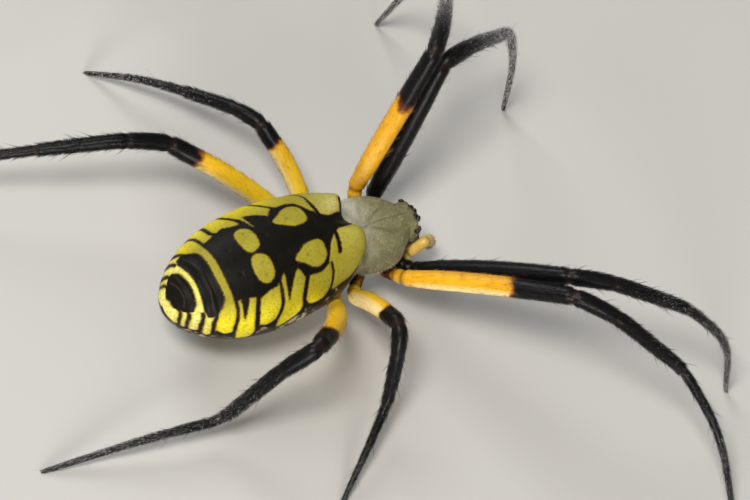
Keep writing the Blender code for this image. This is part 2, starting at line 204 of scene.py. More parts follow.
def leg_corners(name):
    """Corner points of a leg: root, hip, femur start, knee, patella end, ankle, bend, tip."""
    side, pair = (1 if name[0] == "L" else -1), int(name[1])
    femur, tibia, foot = LEG_LENGTHS[pair]
    femur_turn, femur_rise, tibia_turn, tibia_rise, foot_turn = LEG_POSE[name]
    turn = math.radians(ROOT_ANGLES[pair])
    root = Vector((STERNUM_CENTRE[0] + ROOT_RING[0] * math.cos(turn),
                   ROOT_RING[1] * math.sin(turn) * side, ROOT_Z))
    x, y, z = FEMUR_START[pair]
    start = Vector((x, y * side, z))
    hip = root.lerp(start, 0.5)
    hip.z = ROOT_Z + HIP_LIFT
    knee = start + heading(femur_turn, femur_rise) * femur
    ankle = knee + heading(tibia_turn, tibia_rise) * tibia
    arch = heading(tibia_turn, tibia_rise + 90) * PATELLA_ARCH * tibia
    patella = knee.lerp(ankle, PATELLA_SHARE) + arch
    drop = -math.degrees(math.asin(ankle.z / foot))
    tip = ankle + heading(foot_turn, drop) * foot
    bend_share, bow_pull = FOOT_BEND
    bend = ankle.lerp(tip, bend_share) + heading(foot_turn, drop + 90) * LEG_BOW[name][2] * bow_pull
    return root, hip, start, knee, patella, ankle, bend, tip


def rounded(before, at, after, corner):
    """Points on a smooth bend at a leg's corner, with the bend's middle in their middle."""
    start, end = (at + (other - at).normalized() * min(ROUNDING[corner], 0.45 * (other - at).length)
                  for other in (before, after))
    return [start.lerp(at, t).lerp(at.lerp(end, t), t) for t in np.linspace(0.0, 1.0, 9)]


def walked_along(line):
    """The distance along a line to each of its points."""
    return np.concatenate(((0.0,), np.cumsum(np.linalg.norm(np.diff(line, axis=0), axis=1))))


def leg_line(name):
    """A leg's centre line, and the distances along it to its root, hip, knee, ankle and tip."""
    root, hip, start, knee, patella, ankle, bend, tip = leg_corners(name)
    at_start = rounded(hip, start, knee, "start")
    at_knee = rounded(start, knee, patella, "knee")
    at_ankle = rounded(patella, ankle, bend, "ankle")
    forward, upward, _ = LEG_BOW[name]
    up = heading(LEG_POSE[name][0], LEG_POSE[name][1] + 90.0)
    ahead = up.cross((at_knee[0] - at_start[-1]).normalized()) * (-1 if name[0] == "L" else 1)
    femur = []
    for share in np.linspace(0.1, 0.9, 9):
        swing = (ahead * forward + up * upward) * 4.0 * share * (1.0 - share)
        femur.append(at_start[-1].lerp(at_knee[0], share) + swing)
    line = [root] + rounded(root, hip, start, "hip") + at_start + femur + at_knee
    line += rounded(knee, patella, ankle, "patella") + at_ankle
    line += rounded(ankle, bend, tip, "bend") + [tip]
    line = np.array(line)
    walked = walked_along(line)
    middles = [np.array(corner[4]) for corner in (at_start, at_knee, at_ankle)]
    marks = [walked[np.argmin(np.linalg.norm(line - middle, axis=1))] for middle in middles]
    return line, walked, [0.0] + marks + [walked[-1]]


def evened(line, walked, step, soften):
    """Points at even steps along a line, with its corners softened over a distance."""
    fine, spare = 0.04, 3.0
    at = np.arange(-spare, walked[-1] + spare, fine)
    dense = np.stack([np.interp(at, walked, line[:, axis]) for axis in range(3)], axis=1)
    first, last = line[1] - line[0], line[-1] - line[-2]
    before, after = at < 0.0, at > walked[-1]
    dense[before] = line[0] + np.outer(at[before], first / np.linalg.norm(first))
    dense[after] = line[-1] + np.outer(at[after] - walked[-1], last / np.linalg.norm(last))
    kernel = np.exp(-(np.arange(-60, 61) * fine / soften) ** 2)
    kernel /= kernel.sum()
    dense = np.stack([np.convolve(dense[:, axis], kernel, "same") for axis in range(3)], axis=1)
    stations = np.linspace(0.0, walked[-1], int(walked[-1] / step) + 1)
    even = np.stack([np.interp(stations, at, dense[:, axis]) for axis in range(3)], axis=1)
    return even, stations


def carried_frames(line):
    """Tangents, and side and up vectors that are carried along a line without twisting."""
    tangents = np.gradient(line, axis=0)
    tangents /= np.linalg.norm(tangents, axis=1, keepdims=True)
    ups = []
    up = np.array((0.0, 0.0, 1.0))
    for tangent in tangents:
        up = up - tangent * np.dot(up, tangent)
        up = up / np.linalg.norm(up)
        ups.append(up)
    ups = np.array(ups)
    return tangents, np.cross(ups, tangents), ups


def put_attribute(mesh, name, values):
    """Store one number or one vector for each point of a mesh."""
    values = np.asarray(values, dtype=np.float32)
    kind = "FLOAT_VECTOR" if values.ndim == 2 else "FLOAT"
    layer = mesh.attributes.new(name, kind, "POINT")
    layer.data.foreach_set("vector" if values.ndim == 2 else "value", values.ravel())


def with_poles(values):
    """Values of each ring's points in one row, and then their means at the two end poles."""
    flat = values.reshape(-1, *values.shape[2:])
    return np.concatenate((flat, values[:1].mean(axis=1), values[-1:].mean(axis=1)))


def skin_object(name, rings, marks, material, lie=None):
    """A closed skin from rings of points (own frame), with its unwrap, marks and hair's lie."""
    count, sides, _ = rings.shape
    ring, side = np.meshgrid(np.arange(count - 1), np.arange(sides), indexing="ij")
    after = (side + 1) % sides
    quads = np.stack((ring * sides + side, ring * sides + after, (ring + 1) * sides + after,
                      (ring + 1) * sides + side), axis=-1).reshape(-1, 4)
    u0, u1 = side / sides, (side + 1) / sides
    v0, v1 = (CAP_ROW + (1.0 - 2.0 * CAP_ROW) * row / (count - 1) for row in (ring, ring + 1))
    quad_uv = np.stack((u0, v0, u1, v0, u1, v1, u0, v1), axis=-1).reshape(-1, 2)
    start_pole, end_pole = count * sides, count * sides + 1
    around = np.arange(sides)
    turned_on = (around + 1) % sides
    last = (count - 1) * sides
    caps = [(start_pole, b, a) for a, b in zip(around, turned_on)]
    caps += [(end_pole, last + a, last + b) for a, b in zip(around, turned_on)]
    cap_uv = []
    for edge, row in ((0.0, CAP_ROW), (1.0, 1.0 - CAP_ROW)):
        for a in around:
            near, far = (a + 1, a) if edge == 0.0 else (a, a + 1)
            cap_uv += [((a + 0.5) / sides, edge), (near / sides, row), (far / sides, row)]
    mesh = bpy.data.meshes.new(name)
    mesh.from_pydata(world(with_poles(rings)).tolist(), [], quads.tolist() + caps)
    unwrap = mesh.uv_layers.new(name="unwrap")
    unwrap.data.foreach_set("uv", np.concatenate((quad_uv, cap_uv)).astype(np.float32).ravel())
    if lie is not None:
        marks = {**marks, "lie": lie}
    for mark, values in marks.items():
        put_attribute(mesh, mark, with_poles(np.asarray(values, dtype=float)))
    mesh.shade_smooth()
    mesh.materials.append(material)
    piece = bpy.data.objects.new(name, mesh)
    bpy.context.scene.collection.objects.link(piece)
    turn_outward(mesh)
    return piece


def turn_outward(mesh):
    """Flip a closed mesh whose faces point inwards."""
    mesh.calc_loop_triangles()
    corners = np.zeros(len(mesh.vertices) * 3)
    mesh.vertices.foreach_get("co", corners)
    corners = corners.reshape(-1, 3)
    triangles = np.zeros(len(mesh.loop_triangles) * 3, dtype=int)
    mesh.loop_triangles.foreach_get("vertices", triangles)
    a, b, c = (corners[triangles.reshape(-1, 3)[:, i]] for i in range(3))
    if np.einsum("ij,ij->i", a, np.cross(b, c)).sum() < 0.0:
        mesh.flip_normals()


def tube_rings(line, radii, sides):
    """Rings of points round a line, and the direction outwards at each point."""
    _, across, up = carried_frames(line)
    angles = np.linspace(0.0, 2.0 * math.pi, sides, endpoint=False)
    cosine, sine = np.cos(angles)[None, :, None], np.sin(angles)[None, :, None]
    out = across[:, None, :] * cosine + up[:, None, :] * sine
    return line[:, None, :] + out * radii[:, None, None], out


def dips(distance, *bells):
    """The sum of narrow bell curves, each given as its place, its height and its width."""
    return sum(height * np.exp(-((distance - place) / width) ** 2)
               for place, height, width in bells)


def link_nodes(tree, *pairs):
    """Join pairs of sockets."""
    for source, target in pairs:
        tree.links.new(source, target)


def shader_node(tree, kind, **settings):
    """A node with its properties and, where the name is a socket, its values set."""
    node = tree.nodes.new(kind)
    for key, value in settings.items():
        if hasattr(node, key):
            setattr(node, key, value)
        else:
            node.inputs[key.replace("_", " ")].default_value = value
    return node


def math_node(tree, operation, first, second=None):
    """A Math node on two sockets or numbers; its output socket is returned."""
    node = tree.nodes.new("ShaderNodeMath")
    node.operation = operation
    for place, value in enumerate((first, second)):
        if value is None:
            continue
        if isinstance(value, (int, float)):
            node.inputs[place].default_value = value
        else:
            tree.links.new(value, node.inputs[place])
    return node.outputs[0]


def mix_color(tree, share, first, second):
    """A colour mixed from two sockets or colours; its output socket is returned."""
    node = tree.nodes.new("ShaderNodeMix")
    node.data_type = "RGBA"
    colors = [socket for socket in node.inputs if socket.type == "RGBA"]
    for socket, value in zip((node.inputs[0], *colors), (share, first, second)):
        if isinstance(value, (int, float)):
            socket.default_value = value
        elif isinstance(value, tuple):
            socket.default_value = (*value, 1.0)
        else:
            tree.links.new(value, socket)
    return [socket for socket in node.outputs if socket.type == "RGBA"][0]


def ramp_share(tree, value, low, high):
    """A value taken from low to high and turned into a smooth share from 0 to 1."""
    node = tree.nodes.new("ShaderNodeMapRange")
    node.interpolation_type = "SMOOTHSTEP"
    tree.links.new(value, node.inputs["Value"])
    node.inputs["From Min"].default_value = low
    node.inputs["From Max"].default_value = high
    return node.outputs["Result"]


def mark_value(tree, name):
    """The number stored under a name on the skin."""
    node = tree.nodes.new("ShaderNodeAttribute")
    node.attribute_name = name
    return node.outputs["Fac"]


def marked_color(tree, color, *marks):
    """A colour with other colours laid over it, each where the skin has a mark's name."""
    for name, other in marks:
        color = mix_color(tree, mark_value(tree, name), color, other)
    return color


def noise_value(tree, per_mm, detail):
    """Smooth noise fixed to the piece, with so many waves to the millimetre."""
    place = tree.nodes.new("ShaderNodeTexCoord").outputs["Object"]
    noise = shader_node(tree, "ShaderNodeTexNoise", Scale=per_mm / MM, Detail=detail)
    tree.links.new(place, noise.inputs["Vector"])
    return noise.outputs["Fac"]


def make_cuticle_group():
    """Fine relief and mottling of an arthropod's skin, at sizes given in millimetres."""
    tree = bpy.data.node_groups.new("cuticle", "ShaderNodeTree")
    for name, value in (("Grain size", 0.1), ("Patch size", 1.0)):
        socket = tree.interface.new_socket(name, in_out="INPUT", socket_type="NodeSocketFloat")
        socket.default_value = value
    for name in ("Height", "Mottle", "Speck"):
        tree.interface.new_socket(name, in_out="OUTPUT", socket_type="NodeSocketFloat")
    given = tree.nodes.new("NodeGroupInput")
    made = tree.nodes.new("NodeGroupOutput")
    place = tree.nodes.new("ShaderNodeTexCoord").outputs["Object"]
    grain = shader_node(tree, "ShaderNodeTexNoise", Detail=4.0, Roughness=0.6)
    cells = shader_node(tree, "ShaderNodeTexVoronoi", feature="DISTANCE_TO_EDGE")
    patches = shader_node(tree, "ShaderNodeTexNoise", Detail=3.0)
    for node, size in ((grain, "Grain size"), (cells, "Grain size"), (patches, "Patch size")):
        scale = math_node(tree, "DIVIDE", 1.0 / MM, given.outputs[size])
        link_nodes(tree, (place, node.inputs["Vector"]), (scale, node.inputs["Scale"]))
    scales = math_node(tree, "MINIMUM", cells.outputs["Distance"], 0.18)
    height = math_node(tree, "ADD", grain.outputs["Fac"], math_node(tree, "MULTIPLY", scales, 2.0))
    link_nodes(tree, (height, made.inputs["Height"]), (scales, made.inputs["Speck"]),
               (patches.outputs["Fac"], made.inputs["Mottle"]))
    return tree


CUTICLE = make_cuticle_group()


def add_cuticle(tree, shader, grain, patch, depth):
    """Put the cuticle's relief on a shader; its mottle and speck sockets are returned."""
    group = tree.nodes.new("ShaderNodeGroup")
    group.node_tree = CUTICLE
    group.inputs["Grain size"].default_value = grain
    group.inputs["Patch size"].default_value = patch
    bump = shader_node(tree, "ShaderNodeBump", Strength=0.7, Distance=depth * MM)
    link_nodes(tree, (group.outputs["Height"], bump.inputs["Height"]),
               (bump.outputs["Normal"], shader.inputs["Normal"]))
    return group.outputs["Mottle"], group.outputs["Speck"]


def cuticle_material(name, plain, roughness, relief, mottled, *marks):
    """A mottled, grained material; relief is its grain, patch and depth in millimetres."""
    material, tree, shader = new_material(name, plain, roughness)
    mottle, _ = add_cuticle(tree, shader, *relief)
    color = marked_color(tree, mix_color(tree, mottle, *mottled), *marks)
    tree.links.new(color, shader.inputs["Base Color"])
    return material


ORANGE = (0.70, 0.285, 0.005)
GOLD = (0.94, 0.62, 0.004)
# The cream is a painted highlight, laid on the sides of the femora that face the light.
LIT_EDGE_CREAM = (0.92, 0.74, 0.34)
MAROON = (0.13, 0.024, 0.008)
BLACK = (0.0020, 0.0020, 0.0030)
JOINT_BROWN = (0.030, 0.013, 0.008)
RUST_LENGTH = 0.13                  # of the femur, over which the orange burns to black
# Directions faced by the sides that get the painted cream highlight.
LIT_FACE_BELOW = (-0.62, -0.45, -0.64)
LIT_FACE_BEHIND = (-0.93, 0.25, -0.05)


def leg_color(tree, mottle, speck):
    """Black cuticle with an orange base, a painted cream highlight on its lit edge, maroon ring,
    brown joints.
    """
    black = mix_color(tree, mottle, BLACK, (0.0065, 0.0055, 0.0060))
    orange = mix_color(tree, mottle, ORANGE, (0.84, 0.46, 0.022))
    gilded = mix_color(tree, mottle, GOLD, (0.97, 0.70, 0.040))
    orange = marked_color(tree, orange, ("gold", gilded))
    orange = mix_color(tree, ramp_share(tree, speck, 0.045, 0.0), orange, (0.42, 0.13, 0.01))
    # Painted highlight: the femur's lit edge turns cream.
    orange = marked_color(tree, orange, ("pale", LIT_EDGE_CREAM))
    ragged = math_node(tree, "MULTIPLY", math_node(tree, "SUBTRACT", mottle, 0.5), 0.9)
    ragged = math_node(tree, "ADD", mark_value(tree, "orange"), ragged)
    rust = mix_color(tree, ramp_share(tree, ragged, 0.30, 0.75), MAROON, orange)
    color = mix_color(tree, ramp_share(tree, ragged, 0.15, 0.45), black, rust)
    return marked_color(tree, color, ("joint", JOINT_BROWN))


leg_material, leg_tree, leg_shader = new_material("leg_cuticle", BLACK, 0.33)
leg_mottle, leg_speck = add_cuticle(leg_tree, leg_shader, 0.10, 0.9, 0.012)
leg_tree.links.new(leg_color(leg_tree, leg_mottle, leg_speck), leg_shader.inputs["Base Color"])
leg_shader.inputs["Specular IOR Level"].default_value = 0.22


def make_leg(name):
    """One leg's skin, with its marks for the orange, the painted highlight on its lit edge and the
    joints.
    """
    pair = int(name[1])
    line, walked, (root, start, knee, ankle, tip) = leg_line(name)
    line, at = evened(line, walked, RING_STEP, 0.28)
    radii = np.zeros(len(at))
    for part, low, high in zip(GIRTH, (root, start, knee, ankle), (start, knee, ankle, tip)):
        inside = (at >= low) & (at <= high)
        shares = (at[inside] - low) / (high - low)
        radii[inside] = np.interp(shares, np.linspace(0.0, 1.0, len(GIRTH[part])), GIRTH[part])
    kernel = np.ones(5) / 5.0
    radii = np.convolve(np.pad(radii, 2, "edge"), kernel, "valid") * PAIR_GIRTH[pair] * COAT_DEPTH
    patella_end = knee + PATELLA_SHARE * (ankle - knee)
    tarsus = ankle + FOOT_SPLIT * (tip - ankle)
    trochanter = start - TROCHANTER_BACK
    folds = dips(at, (trochanter, 0.15, 0.16), (start + 0.05, 0.14, 0.16), (knee, 0.15, 0.24),
                 (patella_end, 0.08, 0.22), (ankle, 0.13, 0.22), (tarsus, 0.09, 0.20))
    lips = dips(at, (start + 0.42, 0.06, 0.18), (knee - 0.45, 0.03, 0.2), (knee + 0.45, 0.03, 0.2),
                (ankle - 0.4, 0.04, 0.18), (trochanter + 0.36, 0.05, 0.14))
    radii = radii * (1.0 - folds + lips)
    radii *= np.sqrt(np.clip(1.0 - np.clip((at - tip + 0.5) / 0.62, 0.0, 1.0) ** 2, 0.03, 1.0))
    rings, out = tube_rings(line, radii, LEG_SIDES)
    rings[..., 2] = np.maximum(rings[..., 2], 0.0)
    tangents = carried_frames(line)[0]
    everywhere = np.ones((1, LEG_SIDES))
    share = (at - start) / (knee - start)
    wobble = 0.012 * np.sin(np.arange(LEG_SIDES) / LEG_SIDES * 4.0 * math.pi + pair)[None, :]
    if pair == 1:
        orange = np.zeros((len(at), LEG_SIDES))
    else:
        edge = ORANGE_SHARE[pair] + 0.01
        orange = np.clip((edge + wobble - share[:, None]) / RUST_LENGTH, 0.0, 1.0)
        orange *= np.interp(at - start, (-3.4, -2.4, -1.1, -0.3), (0.0, 0.24, 0.36, 1.0))[:, None]
    # Painted highlight: cream along the underside, and on pairs III and IV the rear side too, which
    # face the light.
    low_side = out @ np.array(LIT_FACE_BELOW) * 2.6 - 1.10
    rear_side = out @ np.array(LIT_FACE_BEHIND) * 2.6 - (1.25 if pair > 2 else 3.0)
    pale = np.clip(np.maximum(low_side, rear_side), 0.0, 1.0)
    foot_share = np.clip((at - knee) / (tip - knee), 0.0, 1.0)
    silver = np.interp(foot_share, (0.0, 0.3, 0.6, 1.0), (0.12, 0.30, 0.40, 0.66)) * SILVER[name]
    # No hair grows on an underside that is close to the floor, or deep in a fold.
    clear = np.clip((rings[..., 2] + 0.5 * out[..., 2] - 0.02) / 0.15, 0.0, 1.0)
    cover = np.interp(share, (-0.3, 0.0, 0.6, 1.0), (0.15, 0.35, 0.6, 1.0))
    cover *= 1.0 - np.clip(folds * 2.5, 0.0, 0.9)
    length = np.interp(foot_share, (0.0, 0.3, 0.7, 1.0), (0.55, 0.75, 0.60, 0.42))
    marks = {
        "orange": orange,
        "pale": pale * np.clip(share * 6.0, 0.25, 1.0)[:, None],
        "gold": GOLD_SHARE[pair] * np.clip(1.35 - share * 1.2, 0.2, 1.0)[:, None] * everywhere,
        "joint": np.clip(folds * 5.0, 0.0, 1.0)[:, None] * everywhere * 0.85,
        "cover": cover[:, None] * (1.0 - 0.55 * orange) * clear,
        "length": length[:, None] * everywhere,
        "silver": silver[:, None] * everywhere,
    }
    lie = np.broadcast_to(tangents[:, None, :], rings.shape)
    return skin_object(f"leg_{name}", rings, marks, leg_material, lie), line


legs = {name: make_leg(name) for name in LEG_POSE}
for leg_name, (leg, _) in legs.items():
    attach(leg, "root")
    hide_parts(*[f"leg_{leg_name}_{part}" for part in ("coxa", "femur", "tibia", "foot")])

# ---- Leg bristles -------------------------------------------------------------------
# Stiff tapering hairs that grow from the leg cuticle and lean towards the toe, dark on the
# thick parts and silvery on the feet, with a few long spines among them.

TUFT_PATCH = 0.003                  # width of a hair's place on the unwrap
SPARE_LAYERS = ("root_place", "tuft_place", "lie", "cover", "length", "unwrap")


def make_bristle_tree():
    """Bristles on a skin: each a bent three-sided cone, turned by the skin's lie."""
    tree = bpy.data.node_groups.new("bristles", "GeometryNodeTree")
    new_socket = tree.interface.new_socket
    new_socket("Skin", in_out="INPUT", socket_type="NodeSocketGeometry")
    for name, value in (("Per square mm", 10.0), ("Length", 0.5), ("Slimness", 0.03),
                        ("Rise", 0.35), ("Spread", 0.15), ("Curl", 0.25)):
        socket = new_socket(name, in_out="INPUT", socket_type="NodeSocketFloat")
        socket.default_value = value
    new_socket("Seed", in_out="INPUT", socket_type="NodeSocketInt")
    new_socket("Finish", in_out="INPUT", socket_type="NodeSocketMaterial")
    new_socket("Bristles", in_out="OUTPUT", socket_type="NodeSocketGeometry")
    given = tree.nodes.new("NodeGroupInput")
    made = tree.nodes.new("NodeGroupOutput")

    def stored(name, kind):
        node = tree.nodes.new("GeometryNodeInputNamedAttribute")
        node.data_type = kind
        node.inputs["Name"].default_value = name
        return [socket for socket in node.outputs
                if socket.enabled and socket.name == "Attribute"][0]

    def vector_math(operation, *values):
        node = tree.nodes.new("ShaderNodeVectorMath")
        node.operation = operation
        sockets = [socket for socket in node.inputs if socket.enabled]
        if operation == "SCALE":
            sockets = [node.inputs[0], node.inputs["Scale"]]
        for socket, value in zip(sockets, values):
            tree.links.new(value, socket)
        return node.outputs[0]

    def store(geometry, name, kind, domain, value):
        node = tree.nodes.new("GeometryNodeStoreNamedAttribute")
        node.data_type = kind
        node.domain = domain
        node.inputs["Name"].default_value = name
        sockets = [socket for socket in node.inputs if socket.enabled and socket.name == "Value"]
        link_nodes(tree, (geometry, node.inputs["Geometry"]), (value, sockets[0]))
        return node.outputs["Geometry"]

    scatter = tree.nodes.new("GeometryNodeDistributePointsOnFaces")
    density = math_node(tree, "MULTIPLY", given.outputs["Per square mm"], stored("cover", "FLOAT"))
    density = math_node(tree, "MULTIPLY", density, 1.0 / MM / MM)
    link_nodes(tree, (given.outputs["Skin"], scatter.inputs["Mesh"]),
               (density, scatter.inputs["Density"]),
               (given.outputs["Seed"], scatter.inputs["Seed"]))
    rooted = store(scatter.outputs["Points"], "root_place", "FLOAT_VECTOR", "POINT",
                   stored("unwrap", "FLOAT_VECTOR"))
    jitter = shader_node(tree, "FunctionNodeRandomValue", data_type="FLOAT_VECTOR")
    low, high = [socket for socket in jitter.inputs if socket.enabled][:2]
    low.default_value, high.default_value = (-1.0, -1.0, -1.0), (1.0, 1.0, 1.0)
    link_nodes(tree, (given.outputs["Seed"], jitter.inputs["Seed"]))
    normal = scatter.outputs["Normal"]
    direction = vector_math("ADD", stored("lie", "FLOAT_VECTOR"),
                            vector_math("SCALE", normal, given.outputs["Rise"]))
    direction = vector_math("ADD", direction,
                            vector_math("SCALE", jitter.outputs[0], given.outputs["Spread"]))

    turn = tree.nodes.new("FunctionNodeAxesToRotation")
    turn.primary_axis = "Z"
    turn.secondary_axis = "X"
    link_nodes(tree, (direction, turn.inputs[0]), (normal, turn.inputs[1]))
    uneven = shader_node(tree, "FunctionNodeRandomValue", data_type="FLOAT")
    low, high = [socket for socket in uneven.inputs if socket.enabled][:2]
    low.default_value, high.default_value = 0.55, 1.15
    size = math_node(tree, "MULTIPLY", given.outputs["Length"], stored("length", "FLOAT"))
    size = math_node(tree, "MULTIPLY", size, [s for s in uneven.outputs if s.enabled][0])
    size = math_node(tree, "MULTIPLY", size, MM)

    cone = tree.nodes.new("GeometryNodeMeshCone")
    cone.inputs["Vertices"].default_value = 3
    cone.inputs["Side Segments"].default_value = 3
    cone.inputs["Radius Top"].default_value = 0.0
    cone.inputs["Depth"].default_value = 1.0
    link_nodes(tree, (given.outputs["Slimness"], cone.inputs["Radius Bottom"]))
    patched = store(cone.outputs["Mesh"], "tuft_place", "FLOAT_VECTOR", "CORNER",
                    cone.outputs["UV Map"])
    parts = tree.nodes.new("ShaderNodeSeparateXYZ")
    offset = tree.nodes.new("ShaderNodeCombineXYZ")
    bent = tree.nodes.new("GeometryNodeSetPosition")
    here = tree.nodes.new("GeometryNodeInputPosition")
    squared = math_node(tree, "MULTIPLY", parts.outputs["Z"], parts.outputs["Z"])
    curl = math_node(tree, "MULTIPLY", squared, given.outputs["Curl"])
    link_nodes(tree, (here.outputs[0], parts.inputs[0]),
               (math_node(tree, "MULTIPLY", curl, -1.0), offset.inputs["X"]),
               (patched, bent.inputs["Geometry"]), (offset.outputs[0], bent.inputs["Offset"]))

    plant = tree.nodes.new("GeometryNodeInstanceOnPoints")
    real = tree.nodes.new("GeometryNodeRealizeInstances")
    link_nodes(tree, (rooted, plant.inputs["Points"]),
               (bent.outputs["Geometry"], plant.inputs["Instance"]),
               (turn.outputs[0], plant.inputs["Rotation"]), (size, plant.inputs["Scale"]),
               (plant.outputs["Instances"], real.inputs["Geometry"]))
    centred = shader_node(tree, "ShaderNodeVectorMath", operation="SUBTRACT")
    centred.inputs[1].default_value = (0.5, 0.5, 0.0)
    small = shader_node(tree, "ShaderNodeVectorMath", operation="SCALE")
    small.inputs["Scale"].default_value = TUFT_PATCH
    link_nodes(tree, (stored("tuft_place", "FLOAT_VECTOR"), centred.inputs[0]),
               (centred.outputs[0], small.inputs[0]))
    place = vector_math("ADD", stored("root_place", "FLOAT_VECTOR"), small.outputs[0])
    mapped = store(real.outputs["Geometry"], "OFBake", "FLOAT2", "CORNER", place)
    finish = tree.nodes.new("GeometryNodeSetMaterial")
    link_nodes(tree, (mapped, finish.inputs["Geometry"]),
               (given.outputs["Finish"], finish.inputs["Material"]),
               (finish.outputs["Geometry"], made.inputs["Bristles"]))
    return tree


BRISTLES = make_bristle_tree()


def grow_bristles(name, skin, **inputs):
    """A coat of bristles on a skin, as a plain mesh piece that rides with it."""
    coat = bpy.data.objects.new(name, skin.data)
    bpy.context.scene.collection.objects.link(coat)
    modifier = coat.modifiers.new("bristles", "NODES")
    modifier.node_group = BRISTLES
    for item in BRISTLES.interface.items_tree:
        key = item.name.replace(" ", "_")
        if item.in_out == "INPUT" and key in inputs:
            modifier[item.identifier] = inputs[key]
    bpy.context.view_layer.update()
    depsgraph = bpy.context.evaluated_depsgraph_get()
    mesh = bpy.data.meshes.new_from_object(coat.evaluated_get(depsgraph), depsgraph=depsgraph)
    coat.modifiers.clear()
    places = np.zeros(len(mesh.vertices) * 3, dtype=np.float32)
    mesh.vertices.foreach_get("co", places)
    places[2::3] = np.maximum(places[2::3], 0.0)
    mesh.vertices.foreach_set("co", places)
    coat.data = mesh
    mesh.name = name
    for spare in SPARE_LAYERS:
        if spare in mesh.attributes:
            mesh.attributes.remove(mesh.attributes[spare])
    mesh.shade_smooth()
    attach(coat, "root")
    return coat


leg_bristle_material, tree, shader = new_material("leg_bristles", BLACK, 0.42)
silvered = math_node(tree, "ADD", noise_value(tree, 9.0, 0.0), mark_value(tree, "silver"))
color = mix_color(tree, ramp_share(tree, silvered, 0.92, 1.15),
                  (0.0050, 0.0045, 0.0045), (0.76, 0.75, 0.73))
on_orange = ramp_share(tree, mark_value(tree, "orange"), 0.3, 0.7)
color = mix_color(tree, on_orange, color, (0.50, 0.27, 0.06))
tree.links.new(color, shader.inputs["Base Color"])
shader.inputs["Specular IOR Level"].default_value = 0.2

for index, (leg_name, (leg, _)) in enumerate(legs.items()):
    short = grow_bristles(f"leg_{leg_name}_bristles", leg, Per_square_mm=66.0, Length=0.72,
                          Slimness=0.034, Rise=0.50, Spread=0.26, Curl=0.20, Seed=index,
                          Finish=leg_bristle_material)
    spines = grow_bristles(f"leg_{leg_name}_spines", leg, Per_square_mm=1.6, Length=1.7,
                           Slimness=0.024, Rise=0.75, Spread=0.2, Curl=0.15, Seed=index + 20,
                           Finish=leg_bristle_material)

# ---- Abdomen ------------------------------------------------------------------------
# A soft egg-shaped sac of thin, tight skin: yellow guanine shows through it on the back and
# flanks, with a black field, spots and bands.  One closed skin, finely folded at the rear.

ABDOMEN_LENGTH = 18.1
ABDOMEN_FRONT = (-1.6, 0.25, 0.0)
ABDOMEN_YAW = 4.0
ABDOMEN_WIDTH = 10.2
ABDOMEN_MID_Z = 6.1
ABDOMEN_RISE = 4.35
ABDOMEN_DROP = 4.6
# Where each outline is fullest, and the powers and roots that shape its front and its rear.
WIDTH_BULGE = (0.48, 2.3, 2.1, 0.47, 0.58)
RISE_BULGE = (0.42, 2.6, 2.2, 0.50, 0.55)
DROP_BULGE = (0.60, 1.6, 2.2, 1.25, 0.55)
ABDOMEN_FRONT_LIFT = 1.7
ABDOMEN_KEEL = 1.2
SHOULDER_HEIGHT = 0.6
NOTCH_DEPTH = 1.9                   # of the hollow between the shoulders
NOTCH_SIDE = 0.3
NOTCH_WIDTH = 2.2
SKIN_INSET = 0.04                   # the skin's depth under its coat
MIDLINE = -3.0                      # the pattern's own middle, in degrees from the top
DEGREE_MM = 0.0785                  # a degree round the body, in millimetres


def bulge(share, peak, front_power, rear_power, front_root, rear_root):
    """A smooth rise from 0 at the front to 1 at the peak, and back to 0 at the rear."""
    front = np.clip(1.0 - np.clip((peak - share) / peak, 0.0, 1.0) ** front_power, 0.0, 1.0)
    rear = np.clip(1.0 - np.clip((share - peak) / (1.0 - peak), 0.0, 1.0) ** rear_power, 0.0, 1.0)
    return np.where(share < peak, front ** front_root, rear ** rear_root)


def abdomen_rings(share, around, inset):
    """Points of the abdomen's skin, drawn inwards by the inset."""
    width = ABDOMEN_WIDTH / 2 * bulge(share, *WIDTH_BULGE)
    rise = ABDOMEN_RISE * bulge(share, *RISE_BULGE)
    drop = ABDOMEN_DROP * bulge(share, *DROP_BULGE)
    middle = ABDOMEN_MID_Z + ABDOMEN_FRONT_LIFT * np.maximum(0.0, 1.0 - share / 0.32) ** 2
    cosine, sine = np.cos(around), np.sin(around)
    upper = sine > 0
    keel = np.abs(cosine) ** (ABDOMEN_KEEL * np.maximum(0.0, 1.0 - share / 0.5))
    y = width * cosine * np.where(upper, 1.0, keel)
    z = middle + np.where(upper, rise, drop) * sine
    shoulder = np.exp(-((share - 0.09) / 0.075) ** 2)
    ridge = np.exp(-((np.abs(y) - 1.9) / 1.0) ** 2) - 0.6 * np.exp(-(y / 0.8) ** 2)
    lift = np.where(upper, SHOULDER_HEIGHT * shoulder * ridge * sine, 0.0)
    z = z + lift
    x = -ABDOMEN_LENGTH * share + 0.55 * lift
    x = x - NOTCH_DEPTH * np.exp(-((y - NOTCH_SIDE) / NOTCH_WIDTH) ** 2 - share / 0.1)
    centre = np.stack((x, np.zeros_like(x), middle), axis=-1)
    point = np.stack((x, y, z), axis=-1)
    reach = np.linalg.norm(point - centre, axis=-1, keepdims=True)
    kept = np.maximum(reach - inset[..., None], 0.0) / np.maximum(reach, 1e-6)
    point = centre + (point - centre) * kept
    turn = math.radians(ABDOMEN_YAW)
    turned_x = point[..., 0] * math.cos(turn) - point[..., 1] * math.sin(turn)
    turned_y = point[..., 0] * math.sin(turn) + point[..., 1] * math.cos(turn)
    return np.stack((turned_x, turned_y, point[..., 2]), axis=-1) + np.array(ABDOMEN_FRONT)


def charted(marks):
    """Places given as (share, degrees) in the flat chart's millimetres."""
    return [np.array((share * ABDOMEN_LENGTH, degrees * DEGREE_MM)) for share, degrees in marks]


